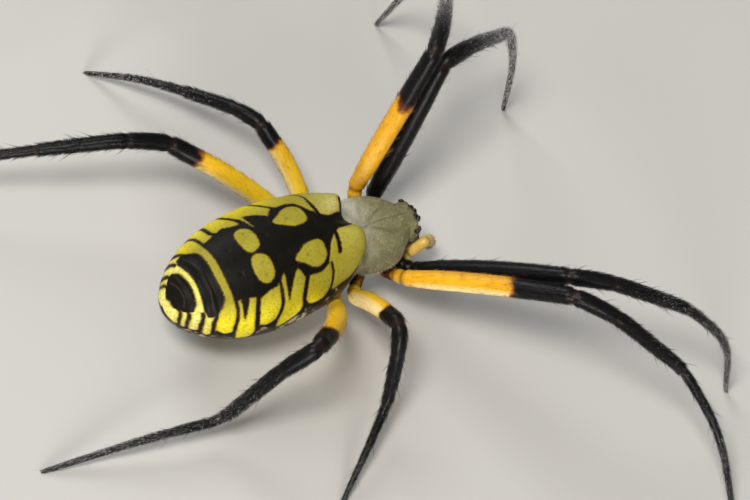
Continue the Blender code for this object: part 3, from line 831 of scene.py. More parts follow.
def stroke(at, marks, width):
    """Distance in mm outside a line of a given width through the marks; below 0 is inside."""
    corners = charted(marks)
    nearest = np.full(at.shape[:2], 1e3)
    for a, b in zip(corners, corners[1:]):
        along = np.clip(((at - a) @ (b - a)) / ((b - a) @ (b - a)), 0.0, 1.0)
        nearest = np.minimum(nearest, np.linalg.norm(at - a - along[..., None] * (b - a), axis=-1))
    return nearest - width / 2


def patch(at, marks, rounding):
    """Distance in mm outside a closed shape with rounded corners; below 0 is inside."""
    corners = charted(marks)
    edge = stroke(at, list(marks) + [marks[0]], 0.0)
    inside = np.zeros(at.shape[:2], dtype=bool)
    for a, b in zip(corners, corners[1:] + corners[:1]):
        crosses = (a[1] > at[..., 1]) != (b[1] > at[..., 1])
        slope = (b[0] - a[0]) / (b[1] - a[1] if b[1] != a[1] else 1e-9)
        inside ^= crosses & (at[..., 0] < a[0] + slope * (at[..., 1] - a[1]))
    return np.where(inside, -edge, edge) - rounding


def curved(marks, steps=5):
    """A closed smooth curve through the marks, as more marks."""
    corners = np.array(marks)
    before, after, beyond = (np.roll(corners, shift, axis=0) for shift in (1, -1, -2))
    curve = []
    for t in np.arange(steps) / steps:
        pull = (after - before) * t + (2 * before - 5 * corners + 4 * after - beyond) * t ** 2
        curve.append(corners + (pull + (3 * corners - before - 3 * after + beyond) * t ** 3) / 2)
    return [tuple(point) for point in np.stack(curve, axis=1).reshape(-1, 2)]


def soft_union(first, second, blend):
    """The nearer of two shapes, with the corner between them filled."""
    mix = np.clip(0.5 + 0.5 * (second - first) / blend, 0.0, 1.0)
    return second + (first - second) * mix - blend * mix * (1.0 - mix)


def joined(shape, others, blend):
    """A shape with others joined to it one by one."""
    for other in others:
        shape = soft_union(shape, other, blend)
    return shape


# The marks below are (share of the length from the front, degrees from the top) on the
# right side; the left side mirrors them about the midline.  A line of marks has its width in
# millimetres, and the first line of each side is the slit, which is drawn last.
FIELD = ((-0.05, 20), (-0.05, -16), (0.07, -16), (0.12, -14), (0.175, -12), (0.21, -14),
         (0.237, -18), (0.262, -23), (0.276, -29), (0.300, -38), (0.343, -42), (0.412, -41),
         (0.450, -32), (0.52, -28), (0.555, -34), (0.575, -38), (0.612, -40), (0.65, -45),
         (0.69, -43), (0.73, -41), (0.764, -42), (0.766, 20))
TEARDROP = ((0.444, -24), (0.410, -19), (0.370, -14.5), (0.322, -13.5), (0.301, -16), (0.296, -21),
            (0.300, -29), (0.326, -34.5), (0.371, -34.5), (0.408, -29))
REAR_SPOT = ((0.568, -10), (0.588, -7), (0.612, -6.5), (0.629, -10), (0.638, -20), (0.634, -28),
             (0.617, -32), (0.592, -31), (0.571, -26), (0.564, -18))
FRONT_SHADE = ((0.030, -4), (0.045, -20), (0.065, -34))
RIGHT_WEDGE = ((0.452, -29), (0.489, -39), (0.515, -50), (0.524, -57), (0.526, -46),
               (0.523, -34), (0.522, -24))
RIGHT_TONGUE = ((0.706, -42), (0.720, -54), (0.731, -68), (0.736, -66), (0.738, -54), (0.740, -42))
LEFT_WEDGE = ((0.452, -29), (0.458, -34), (0.50, -41), (0.536, -46), (0.575, -47),
              (0.58, -36), (0.56, -28))
RIGHT_LINES = (
    (((0.206, -14), (0.214, -27), (0.223, -35)), 0.34),
    (((0.283, -40), (0.284, -49), (0.298, -60), (0.324, -72)), 0.20),
    (((0.438, -33), (0.419, -43), (0.438, -53), (0.452, -63), (0.450, -80)), 0.34),
    (((0.555, -32), (0.555, -46), (0.556, -57), (0.570, -68), (0.590, -78), (0.596, -95)), 0.26),
    (((0.664, -42), (0.676, -58), (0.678, -76), (0.668, -98)), 0.34),
)
LEFT_LINES = (
    (((0.226, -12), (0.229, -24), (0.231, -36)), 0.26),
    (((0.230, -35), (0.229, -46), (0.240, -58), (0.285, -69), (0.358, -72), (0.43, -76)), 0.15),
    (((0.400, -42), (0.425, -50), (0.440, -59), (0.448, -75), (0.455, -95)), 0.22),
    (((0.562, -36), (0.580, -50), (0.596, -62), (0.600, -76), (0.600, -95)), 0.26),
    (((0.690, -40), (0.702, -50), (0.698, -61), (0.690, -76), (0.66, -98)), 0.30),
)
BOTH_LINES = (
    (((0.761, -40), (0.762, -62), (0.768, -80), (0.768, -104)), 0.22),
    (((0.843, -54), (0.854, -72), (0.850, -90), (0.842, -112)), 0.24),
    (((0.893, -54), (0.897, -80), (0.892, -108), (0.884, -122)), 0.22),
    (((0.940, -54), (0.941, -85), (0.936, -118), (0.928, -140)), 0.17),
    (((0.966, -44), (0.965, -80), (0.958, -122)), 0.14),
)
LEFT_LOBE = ((0.541, -28), (0.546, -38), (0.545, -49), (0.562, -49), (0.556, -38))
REAR_BAND = ((0.820, 20), (0.813, 0), (0.807, -22), (0.806, -34), (0.822, -45), (0.845, -56),
             (0.870, -61), (0.881, -50), (0.874, -26), (0.873, -6), (0.880, 20))
TAIL_DISC = ((0.914, 20), (0.908, 0), (0.908, -22), (0.911, -37), (0.928, -51), (0.950, -53),
             (0.972, -42), (0.979, -20), (0.980, 20))
# Where the yellow of the flanks ends below.
LOWER_EDGE = ((0.0, -55), (0.02, -66), (0.2, -72), (0.30, -72), (0.44, -73), (0.47, -80),
              (0.58, -96), (0.60, -79), (0.66, -83), (0.69, -108), (0.74, -111), (0.77, -98),
              (0.84, -92), (0.86, -109), (0.90, -103), (0.94, -112), (1.0, -128))
GHOSTS = (((0.846, 20), (0.840, -20), (0.856, -50)), ((0.946, 20), (0.940, -20), (0.948, -42)))
GHOST_WIDTH = 0.05
PITS = ((0.275, 9.0), (0.385, 20.0), (0.52, 12.0), (0.60, 23.0), (0.70, 14.0))
PIT_DEPTH = 0.07
FOLD_COUNT = 23.0                   # fine folds that the rear would have over the whole length


def black_pattern(share, off_middle, at):
    """How far each point of the skin is outside the black, in millimetres, and in the notch."""
    left = off_middle > 0
    strokes = [[stroke(at, marks, width) for marks, width in lines]
               for lines in (RIGHT_LINES, LEFT_LINES, BOTH_LINES)]
    (right_slit, *right_lines), (left_slit, *left_lines), both_lines = strokes
    field = patch(at, FIELD, 0.06)
    on_right = joined(field, (patch(at, RIGHT_WEDGE, 0.03), patch(at, RIGHT_TONGUE, 0.02)), 0.06)
    on_right = joined(on_right, right_lines, 0.12)
    on_left = soft_union(field, patch(at, LEFT_WEDGE, 0.03), 0.06)
    on_left = np.maximum(on_left, -patch(at, LEFT_LOBE, 0.04))
    on_left = soft_union(on_left, stroke(at, FRONT_SHADE, 1.1), 0.15)
    on_left = joined(on_left, left_lines, 0.12)
    dark = joined(np.where(left, on_left, on_right), both_lines, 0.10)
    dark = joined(dark, (patch(at, REAR_BAND, 0.12), patch(at, TAIL_DISC, 0.10)), 0.05)
    for shape in (TEARDROP, REAR_SPOT):
        dark = np.maximum(dark, -patch(at, curved(shape), 0.14))
    across = ABDOMEN_WIDTH / 2 * bulge(share, *WIDTH_BULGE) * np.sin(np.radians(off_middle))
    notch = np.maximum(np.abs(across) - 0.85, (share - 0.06) * ABDOMEN_LENGTH)
    dark = soft_union(dark, notch, 0.3)
    return soft_union(dark, np.where(left, left_slit, right_slit), 0.08), notch


def abdomen_marks(share, degrees):
    """The pattern's distances and shares at each point of the skin."""
    off_middle = (degrees - MIDLINE + 180.0) % 360.0 - 180.0
    side = MIDLINE - np.abs(off_middle)
    wander = 0.0018 * np.sin(degrees * 0.11 + share * 9.0)
    drift = 0.8 * np.sin(share * 27.0 + degrees * 0.03)
    quiet = np.clip((share - 0.02) / 0.1, 0.0, 1.0)
    at = np.stack(((share + wander * quiet) * ABDOMEN_LENGTH, (side + drift * quiet) * DEGREE_MM),
                  axis=-1)
    dark, notch = black_pattern(share, off_middle, at)
    low = (np.interp(share, *zip(*LOWER_EDGE)) - (side + drift * 2.5)) * DEGREE_MM
    dark = soft_union(dark, -low, 0.65)
    # Painted light: the flanks and tail are marked to be painted as lit bright yellow, the back as
    # shaded olive.
    lit_flank = np.clip((np.abs(off_middle) - 38.0) / 30.0, 0.0, 1.0)
    lit_flank = lit_flank * np.clip((share - 0.26) / 0.15, 0.0, 1.0)
    lit_flank = np.maximum(lit_flank, np.clip((share - 0.84) / 0.08, 0.0, 1.0))
    cream = np.clip(1.0 - np.abs(share - 0.13) / 0.12, 0.0, 1.0)
    cream = cream * np.where(off_middle > 0, 1.0, 0.28)
    cream = cream * np.clip(1.6 - np.abs(off_middle) / 40.0, 0.0, 1.0)
    belly = np.clip((np.abs(off_middle) - 122.0) / 12.0, 0.0, 1.0)
    wan = np.clip((share - 0.835) / 0.06, 0.0, 1.0)
    stripe = np.maximum(np.abs(np.abs(off_middle) - 152.0) - 6.0 - 2.0 * np.sin(share * 30.0),
                        np.abs(share - 0.52) * 150.0 - 38.0) * DEGREE_MM
    ember = np.exp(-((share - 0.295) / 0.035) ** 2 - ((side + 82.0) / 11.0) ** 2)
    ghost = np.minimum(*(stroke(at, marks, GHOST_WIDTH) for marks in GHOSTS))
    return {"dark": dark, "low": low, "lit_flank": lit_flank, "cream": cream, "belly": belly,
            "stripe": stripe, "ember": ember, "ghost": ghost, "wan": wan,
            "front": np.clip(-notch * 8.0, 0.0, 9.0)}


ABDOMEN_RINGS = 250
ABDOMEN_SIDES = 240
turns = np.linspace(0.0, math.pi, ABDOMEN_RINGS + 2)[1:-1]
angles = np.linspace(0.0, 2.0 * math.pi, ABDOMEN_SIDES, endpoint=False)
share, around = np.meshgrid(0.5 - 0.5 * np.cos(turns), angles, indexing="ij")
degrees = 90.0 - np.degrees(around)
pattern = abdomen_marks(share, degrees)
above = np.clip(np.sin(around) * 2.0 + 0.6, 0.0, 1.0)
creases = 0.05 * np.exp(-(np.clip(pattern["dark"], 0.0, 9.0) / 0.10) ** 2) * above
rear_folds = 0.045 * (1.0 + np.cos(share * 2.0 * math.pi * FOLD_COUNT))
rear_folds *= np.clip((share - 0.74) / 0.1, 0.0, 1.0) * np.clip((0.985 - share) / 0.05, 0.0, 1.0)
pits = np.zeros_like(share)
for pit_share, pit_side in PITS:
    for sign in (-1.0, 1.0):
        away = ((share - pit_share) * ABDOMEN_LENGTH) ** 2
        away = away + ((degrees - MIDLINE - sign * pit_side) * DEGREE_MM) ** 2
        pits = pits + PIT_DEPTH * np.exp(-away / 0.014)
pattern["pit"] = np.clip(pits / PIT_DEPTH, 0.0, 1.0) * 0.7 * (pattern["dark"] > 0.0)
inset = SKIN_INSET + creases + rear_folds + pits
rings = abdomen_rings(share, around, inset)
backward = np.gradient(rings, axis=0)
backward /= np.linalg.norm(backward, axis=-1, keepdims=True)
pattern["cover"] = 0.5 + 0.5 * np.clip(1.0 - above, 0.0, 1.0)
pattern["length"] = np.ones_like(share)

abdomen_material, tree, shader = new_material("abdomen_skin", (0.72, 0.60, 0.07), 0.40)
mottle, speck = add_cuticle(tree, shader, 0.16, 1.1, 0.020)
fine = noise_value(tree, 5.0, 3.0)
coarse = noise_value(tree, 1.1, 4.0)


def scaled(value, factor, middle=0.0):
    """A value of the abdomen's paint, less its middle, times a factor."""
    return math_node(tree, "MULTIPLY", math_node(tree, "SUBTRACT", value, middle), factor)


# Lit and shaded copies of one yellow: the back is painted as a shaded olive, the flanks and tail as
# lit bright yellow.
shaded_olive = mix_color(tree, mottle, (0.26, 0.225, 0.012), (0.40, 0.36, 0.050))
lit_yellow = mix_color(tree, mottle, (0.86, 0.70, 0.006), (0.92, 0.80, 0.035))
yellow = marked_color(tree, shaded_olive, ("lit_flank", lit_yellow), ("wan", (0.92, 0.85, 0.24)),
                      ("cream", (0.50, 0.45, 0.17)), ("ember", (0.86, 0.44, 0.015)))
grains = scaled(ramp_share(tree, fine, 0.46, 0.72), 0.50)
yellow = mix_color(tree, grains, yellow, (0.20, 0.15, 0.010))
cells = scaled(ramp_share(tree, speck, 0.12, 0.0), 0.42)
yellow = mix_color(tree, cells, yellow, (0.30, 0.24, 0.02))
shaded = scaled(ramp_share(tree, mark_value(tree, "dark"), 0.30, 0.0), 0.45)
yellow = mix_color(tree, shaded, yellow, (0.34, 0.24, 0.010))
black = mix_color(tree, coarse, (0.0030, 0.0028, 0.0022), (0.0100, 0.0085, 0.0055))
edge = math_node(tree, "ADD", mark_value(tree, "dark"), scaled(fine, 0.22, 0.5))
brown = mix_color(tree, ramp_share(tree, edge, -0.02, 0.10), (0.075, 0.045, 0.010), yellow)
back = mix_color(tree, ramp_share(tree, edge, -0.09, 0.02), black, brown)
ghostly = ramp_share(tree, mark_value(tree, "ghost"), 0.05, 0.0)
back = mix_color(tree, ghostly, back, (0.026, 0.020, 0.018))
back = marked_color(tree, back, ("pit", (0.10, 0.075, 0.02)))
under = mix_color(tree, ramp_share(tree, coarse, 0.50, 0.62), (0.045, 0.026, 0.013),
                  (0.42, 0.34, 0.20))
under = marked_color(tree, under, ("belly", (0.012, 0.010, 0.009)))
striped = ramp_share(tree, mark_value(tree, "stripe"), 0.10, -0.05)
under = mix_color(tree, striped, under, (0.80, 0.62, 0.05))
frayed = math_node(tree, "ADD", math_node(tree, "SUBTRACT", mark_value(tree, "low"), 0.55),
                   scaled(coarse, 2.6, 0.5))
frayed = math_node(tree, "SUBTRACT", frayed, mark_value(tree, "front"))
color = mix_color(tree, ramp_share(tree, frayed, -0.12, 0.12), back, under)
tree.links.new(color, shader.inputs["Base Color"])
shader.inputs["Specular IOR Level"].default_value = 0.09

abdomen = skin_object("abdomen_skin", rings, pattern, abdomen_material, backward)
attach(abdomen, "root")
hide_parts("abdomen")

down_material, tree, shader = new_material("abdomen_hair", (0.55, 0.54, 0.50), 0.5)
color = mix_color(tree, ramp_share(tree, mark_value(tree, "dark"), -0.05, 0.05),
                  (0.008, 0.007, 0.006), (0.56, 0.49, 0.12))
low_down = ramp_share(tree, mark_value(tree, "low"), 0.3, 0.8)
color = mix_color(tree, low_down, color, (0.08, 0.068, 0.052))
tree.links.new(color, shader.inputs["Base Color"])
shader.inputs["Specular IOR Level"].default_value = 0.2
abdomen_down = grow_bristles("abdomen_hairs", abdomen,
                             Per_square_mm=24.0, Length=0.27, Slimness=0.024,
                             Rise=0.40, Spread=0.25, Curl=0.2, Seed=61, Finish=down_material)

# ---- Carapace -----------------------------------------------------------------------
# The hard grey-olive shield over the front half of the body: a raised head in front, radial
# furrows and a small pit behind, and a flat coat of fine silver hairs combed towards the rim.

CARAPACE_FRONT_X = 4.2
CARAPACE_LENGTH = 8.15
CARAPACE_WIDTH = 6.7
CARAPACE_FLOOR_Z = 4.75
CARAPACE_RIM_Z = 5.0
CARAPACE_TOP_Z = 7.1
HEAD_HALF_WIDTH = 1.62
HEAD_LENGTH = 3.4
FOVEA = (-1.3, 0.0)                 # the pit in the shield's middle
FURROWS = ((26.0, 0.06), (68.0, 0.04), (104.0, 0.04), (140.0, 0.04))    # bearing, depth
CARAPACE_RINGS = 170
CARAPACE_SIDES = 160


def shield_half_width(share):
    """Half the shield's width, at a share of its length from the front."""
    thorax = np.maximum(0.0, 1.0 - np.abs((share - 0.60) / 0.45) ** 2.2) ** 0.5 * CARAPACE_WIDTH / 2
    nose = np.minimum(1.0, share / 0.12)
    head = HEAD_HALF_WIDTH * (1.0 - (1.0 - nose) ** 2.4) ** 0.5
    neck = np.maximum(0.0, 1.0 - share * CARAPACE_LENGTH / HEAD_LENGTH)
    head = head * np.minimum(1.0, 0.6 + neck)
    blend = 1.1 * nose + 1e-6
    mix = np.clip(0.5 + 0.5 * (thorax - head) / blend, 0.0, 1.0)
    return head + (thorax - head) * mix + blend * mix * (1.0 - mix) * 0.5


def shield_height(share):
    """Height of the shield's middle line over its rim."""
    brow = 1.0 - (1.0 - np.minimum(1.0, share / 0.10)) ** 2.5
    crest = 0.80 + 0.20 * np.sin(math.pi * np.minimum(1.0, share / 0.9))
    rear = 1.0 - np.maximum(0.0, (share - 0.55) / 0.45) ** 2.0
    return (CARAPACE_TOP_Z - CARAPACE_RIM_Z) * brow * crest * (0.12 + 0.88 * rear)


def shield_rings():
    """The shield's points, with shallow furrows that meet at the fovea."""
    turns = np.linspace(0.0, math.pi, CARAPACE_RINGS + 2)[1:-1]
    angles = np.linspace(0.0, 2.0 * math.pi, CARAPACE_SIDES, endpoint=False)
    turn, around = np.meshgrid(turns, angles, indexing="ij")
    share = 0.5 - 0.5 * np.cos(turn)
    cosine, sine = np.cos(around), np.sin(around)
    x = CARAPACE_FRONT_X - CARAPACE_LENGTH * share
    y = shield_half_width(share) * cosine
    upper = sine > 0
    high = shield_height(share) * np.where(upper, sine, 0.0) ** 0.8
    z = CARAPACE_RIM_Z + np.where(upper, high, (CARAPACE_RIM_Z - CARAPACE_FLOOR_Z) * sine) - 0.03
    away = np.hypot(x - FOVEA[0], y - FOVEA[1])
    bearing = np.degrees(np.arctan2(np.abs(y - FOVEA[1]), x - FOVEA[0]))
    pit = np.exp(-((x - FOVEA[0]) / 0.45) ** 2 - (y / 0.09) ** 2)
    depth = 0.07 * np.exp(-away / 0.5) + 0.10 * pit
    fade = np.clip((away - 0.25) / 0.8, 0.0, 1.0) * np.clip((3.6 - away) / 1.5, 0.0, 1.0)
    for furrow, furrow_depth in FURROWS:
        off = np.radians(bearing - furrow) * away
        depth = depth + furrow_depth * np.exp(-(off / 0.20) ** 2) * fade
    seam = np.exp(-(y / 0.06) ** 2) * np.clip(x - FOVEA[0], 0.0, 1.0) * np.clip(3.3 - x, 0.0, 1.0)
    depth = (depth + 0.06 * seam) * np.clip(sine * 3.0, 0.0, 1.0)
    z = z - depth
    outward = np.stack((x - FOVEA[0], y - FOVEA[1], z - CARAPACE_TOP_Z), axis=-1)
    return np.stack((x, y, z), axis=-1), outward, share, sine, depth


rings, combed, share, sine, depth = shield_rings()
across = np.gradient(rings, axis=1)
along = np.gradient(rings, axis=0)
normals = np.cross(along, across)
normals /= np.maximum(np.linalg.norm(normals, axis=-1, keepdims=True), 1e-9)
combed = combed - normals * np.sum(combed * normals, axis=-1, keepdims=True)
combed /= np.maximum(np.linalg.norm(combed, axis=-1, keepdims=True), 1e-9)
top = np.clip(sine * 4.0 + 0.3, 0.0, 1.0)
rim, fringe = (np.exp(-np.clip(sine, 0.0, 1.0) / reach) * (sine > -0.3) for reach in (0.10, 0.16))
cover = top * (0.45 + 0.55 * np.clip((share - 0.02) / 0.12, 0.0, 1.0))
marks = {
    "cover": cover * np.clip(1.0 - 3.5 * depth, 0.35, 1.0),
    "length": 0.8 + 0.9 * rim,
    # Furrow depth, which darkens the shell and its hairs as painted shade.
    "furrow": np.clip(depth / 0.12, 0.0, 1.0),
    "rim": rim,
    "fringe": fringe * np.clip((share - 0.2) * 5.0, 0.0, 0.9),
    "face": np.clip(1.0 - share / 0.05, 0.0, 1.0),
    # Silver hair towards the rear: the hair is real, its extra brightness towards the left side is
    # a painted sheen.
    "silver": (np.clip((share - 0.45) / 0.4, 0.0, 1.0)
               * np.clip(0.55 + rings[..., 1] / 4.0, 0.1, 1.0)),
}

carapace_material = cuticle_material(
    "carapace_shell", (0.27, 0.26, 0.17), 0.42, (0.13, 0.8, 0.022),
    # The silver mark: real silver hair, with a painted sheen on the left rear.
    ((0.150, 0.145, 0.062), (0.27, 0.255, 0.125)), ("silver", (0.52, 0.50, 0.40)),
    # Painted shade: the shell is darker in its furrows.
    ("furrow", (0.080, 0.078, 0.036)), ("rim", (0.050, 0.036, 0.020)),
    ("face", (0.020, 0.015, 0.010)))
carapace = skin_object("carapace_shell", rings, marks, carapace_material, combed)
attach(carapace, "root")
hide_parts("carapace")

silver_material, tree, shader = new_material("silver_hair", (0.55, 0.55, 0.48), 0.38)
patchy = ramp_share(tree, noise_value(tree, 1.3, 2.0), 0.35, 0.65)
pale = mix_color(tree, patchy, (0.28, 0.275, 0.130), (0.54, 0.515, 0.34))
strands = ramp_share(tree, noise_value(tree, 5.0, 1.0), 0.28, 0.70)
color = mix_color(tree, strands, (0.13, 0.125, 0.050), pale)
# Silver hairs, partly their real colour and partly a painted sheen on the left rear.
color = marked_color(tree, color, ("silver", (0.86, 0.84, 0.72)))
# Painted shade: the hairs darken in the furrows.
furrow_shade = math_node(tree, "MULTIPLY", mark_value(tree, "furrow"), 0.65)
color = mix_color(tree, furrow_shade, color, (0.07, 0.066, 0.030))
color = marked_color(tree, color, ("fringe", (0.80, 0.70, 0.48)))
tree.links.new(color, shader.inputs["Base Color"])
carapace_hair = grow_bristles("carapace_hairs", carapace,
                              Per_square_mm=205.0, Length=0.36, Slimness=0.042, Rise=0.16,
                              Spread=0.20, Curl=0.10, Seed=71, Finish=silver_material)

# ---- Eyes ---------------------------------------------------------------------------
# Eight small glassy black eyes in two rows across the front of the head, the outer ones in
# touching pairs.  Each sits in a raised dark ring of the shield.

EYES = (
    ("anterior_median", (4.07, 0.34, 6.02), 0.25),
    ("posterior_median", (3.60, 0.42, 6.62), 0.25),
    ("anterior_lateral", (3.80, 1.22, 5.84), 0.20),
    ("posterior_lateral", (3.46, 1.46, 6.06), 0.20),
)
HEAD_MIDDLE = np.array((2.4, 0.0, 5.2))     # the point that all the eyes look away from
COLLAR_GIRTH = 0.085
EYE_SIDES = 28

eye_material, tree, shader = new_material("eye_lens", (0.006, 0.005, 0.005), 0.05)
shader.inputs["Coat Weight"].default_value = 0.6
shader.inputs["Coat Roughness"].default_value = 0.03
color = mix_color(tree, noise_value(tree, 3.0, 1.0), (0.012, 0.006, 0.003), (0.003, 0.003, 0.003))
tree.links.new(color, shader.inputs["Base Color"])
ring_material = cuticle_material("eye_ring", (0.03, 0.02, 0.012), 0.35, (0.06, 0.3, 0.008),
                                 ((0.016, 0.011, 0.008), (0.060, 0.036, 0.018)))


def turned_rings(centre, axis, profile, sides):
    """Rings of a turned shape: the profile's (radius, height) pairs round an axis."""
    axis = np.asarray(axis, dtype=float)
    axis = axis / np.linalg.norm(axis)
    first = np.cross(axis, (0.0, 0.0, 1.0) if abs(axis[2]) < 0.9 else (1.0, 0.0, 0.0))
    first /= np.linalg.norm(first)
    second = np.cross(axis, first)
    angles = np.linspace(0.0, 2.0 * math.pi, sides, endpoint=False)
    round_about = np.cos(angles)[:, None] * first + np.sin(angles)[:, None] * second
    return np.array([centre + round_about * radius + axis * height for radius, height in profile])


def arc_profile(radius, low, high, steps, middle=(0.0, 0.0)):
    """(radius, height) pairs on an arc between two angles, in degrees from the equator."""
    out, up = middle
    return [(out + radius * math.cos(bend), up + radius * math.sin(bend))
            for bend in np.radians(np.linspace(low, high, steps))]


for eye, centre, radius in EYES:
    for side, word in ((1, "left"), (-1, "right")):
        at = np.array((centre[0], centre[1] * side, centre[2]))
        facing = at - HEAD_MIDDLE
        facing /= np.linalg.norm(facing)
        ball = turned_rings(at, facing, arc_profile(radius * 0.98, -86, 86, 22), EYE_SIDES)
        lens_piece = skin_object(f"eye_lens_{eye}_{word}", ball, {}, eye_material)
        collar = [(radius * 1.22, -radius * 0.9)]
        collar += arc_profile(COLLAR_GIRTH, -90, 200, 12, (radius * 0.95, radius * 0.12))
        collar_rings = turned_rings(at, facing, collar, EYE_SIDES)
        ring = skin_object(f"eye_ring_{eye}_{word}", collar_rings, {}, ring_material)
        for piece, finish in ((lens_piece, "eye"), (ring, "carapace")):
            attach(piece, "root")
        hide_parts(f"eye_{eye}_{word}")

# ---- Jaws and fangs -----------------------------------------------------------------
# Two stout brown-black chelicerae hang below the face, each with an orange boss at its root,
# a fringe of hairs and a curved, polished black fang folded inwards at its end.

JAW_LINE = ((3.62, 0.72, 4.45), (4.02, 0.74, 3.9), (4.05, 0.72, 3.0), (3.75, 0.66, 2.2))
JAW_GIRTH = (0.52, 0.66, 0.62, 0.42)
FANG_LINE = ((3.62, 0.62, 2.06), (3.48, 0.52, 1.78), (3.18, 0.40, 1.62), (2.86, 0.36, 1.70))
FANG_GIRTH = (0.24, 0.20, 0.13, 0.035)


def limb_rings(corners, girths, step, soften, sides, folds=()):
    """Rings and marks of a small limb: a softened line with girths, pinched at its folds."""
    line = np.array(corners, dtype=float)
    line, at = evened(line, walked_along(line), step, soften)
    radii = np.interp(at / at[-1], np.linspace(0.0, 1.0, len(girths)), girths)
    pinched = dips(at, *((place * at[-1], deep, 0.10) for place, deep in folds)) + np.zeros(len(at))
    radii = radii * (1.0 - pinched)
    to_end = np.minimum(at, at[-1] - at) / (0.7 * radii.max())
    radii = radii * np.sqrt(np.clip(1.0 - np.clip(1.0 - to_end, 0.0, 1.0) ** 2, 0.02, 1.0))
    rings, out = tube_rings(line, radii, sides)
    tangents = carried_frames(line)[0]
    lie = np.broadcast_to(tangents[:, None, :], rings.shape)
    return rings, lie, out, at / at[-1], pinched


jaw_material = cuticle_material("jaw_cuticle", (0.03, 0.015, 0.01), 0.28, (0.11, 0.7, 0.014),
                                ((0.020, 0.010, 0.006), (0.055, 0.024, 0.010)),
                                ("boss", (0.42, 0.15, 0.02)))
fang_material = cuticle_material("fang_horn", (0.008, 0.005, 0.004), 0.12, (0.05, 0.3, 0.004),
                                 ((0.006, 0.004, 0.004), (0.050, 0.016, 0.006)))
fringe_material, _, _ = new_material("dark_fringe", (0.030, 0.024, 0.020), 0.45)

for side, word in ((1, "left"), (-1, "right")):
    rings, lie, out, shares, _ = limb_rings([(x, y * side, z) for x, y, z in JAW_LINE], JAW_GIRTH,
                                            0.07, 0.25, 32)
    everywhere = np.ones(rings.shape[:2])
    outer_side = np.clip(out @ np.array((0.5, side, 0.2)), 0.0, 1.0)
    jaw_marks = {
        "boss": dips(shares, (0.10, 1.0, 0.10))[:, None] * outer_side,
        "cover": everywhere * np.interp(shares, (0.0, 0.3, 1.0), (0.3, 0.7, 1.0))[:, None],
        "length": everywhere * np.interp(shares, (0.0, 1.0), (0.6, 1.0))[:, None],
    }
    jaw = skin_object(f"jaw_{word}", rings, jaw_marks, jaw_material, lie)
    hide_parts(f"chelicera_{word}")
    rings, *_ = limb_rings([(x, y * side, z) for x, y, z in FANG_LINE], FANG_GIRTH, 0.04, 0.12, 20)
    fang = skin_object(f"fang_horn_{word}", rings, {}, fang_material)
    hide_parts(f"fang_{word}")
    for piece in (jaw, fang):
        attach(piece, "root")
    fringe = grow_bristles(f"jaw_hairs_{word}", jaw,
                           Per_square_mm=70.0, Length=0.42, Slimness=0.032, Rise=0.55,
                           Spread=0.3, Curl=0.1, Seed=81 + side, Finish=fringe_material)

# ---- Palps --------------------------------------------------------------------------
# Two short feelers beside the jaws, yellow-orange with black ends, each with five joints and
# a fur of short stiff hairs; the side facing back, right and down gets a painted highlight.

PALP_LINES = {
    "left": (
        (2.45, 1.30, 3.15),
        (2.85, 1.95, 3.15),
        (4.30, 2.05, 3.65),
        (4.90, 1.85, 2.90),
        (5.15, 1.60, 2.00),
        (5.05, 1.40, 1.20),
    ),
    "right": (
        (2.45, -1.30, 3.15),
        (2.85, -1.95, 3.20),
        (4.32, -2.00, 4.85),
        (5.10, -1.60, 4.10),
        (5.80, -1.30, 2.90),
        (6.00, -1.10, 1.80),
    ),
}
PALP_GIRTH = (0.34, 0.40, 0.49, 0.46, 0.42, 0.40, 0.44, 0.42, 0.26)
PALP_FOLDS = ((0.10, 0.22), (0.19, 0.2), (0.47, 0.24), (0.60, 0.2), (0.78, 0.22))

# The pale mark is a painted highlight on the side that faces the light.
palp_material = cuticle_material("palp_cuticle", ORANGE, 0.36, (0.08, 0.6, 0.010),
                                 ((0.94, 0.56, 0.070), (0.96, 0.70, 0.18)),
                                 ("pale", (0.96, 0.82, 0.48)), ("tip", BLACK),
                                 ("joint", (0.12, 0.045, 0.015)))
palp_hair_material, tree, shader = new_material("palp_hair", (0.4, 0.3, 0.2), 0.45)
color = marked_color(tree, (0.88, 0.66, 0.28), ("tip", (0.030, 0.026, 0.024)))
tree.links.new(color, shader.inputs["Base Color"])

for word, corners in PALP_LINES.items():
    rings, lie, out, shares, folds = limb_rings(corners, PALP_GIRTH, 0.07, 0.22, 24, PALP_FOLDS)
    everywhere = np.ones(rings.shape[:2])
    palp_marks = {
        # Painted highlight: the side facing back, right and down is painted pale.
        "pale": np.clip(out @ np.array((-0.6, -0.6, -0.3)) * 1.6 - 0.8, 0.0, 0.7),
        "tip": everywhere * np.clip((shares - 0.72) / 0.08, 0.0, 1.0)[:, None],
        "joint": everywhere * np.clip(folds * 3.0, 0.0, 0.8)[:, None],
        "cover": everywhere * np.interp(shares, (0.0, 0.4, 1.0), (0.3, 0.6, 1.2))[:, None],
        "length": everywhere * np.interp(shares, (0.0, 1.0), (0.7, 1.1))[:, None],
    }
    palp = skin_object(f"palp_skin_{word}", rings, palp_marks, palp_material, lie)
    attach(palp, "root")
    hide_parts(f"palp_{word}")
    hairs = grow_bristles(f"palp_hairs_{word}", palp,
                          Per_square_mm=90.0, Length=0.40, Slimness=0.032, Rise=0.55,
                          Spread=0.3, Curl=0.15, Seed=91 + len(word), Finish=palp_hair_material)

# ---- Underside of the front body ----------------------------------------------------
# The sternum is a dark heart-shaped plate with a pale yellow band down its middle.  The lip
# and the two maxillae close the mouth, and the narrow pedicel carries the abdomen.

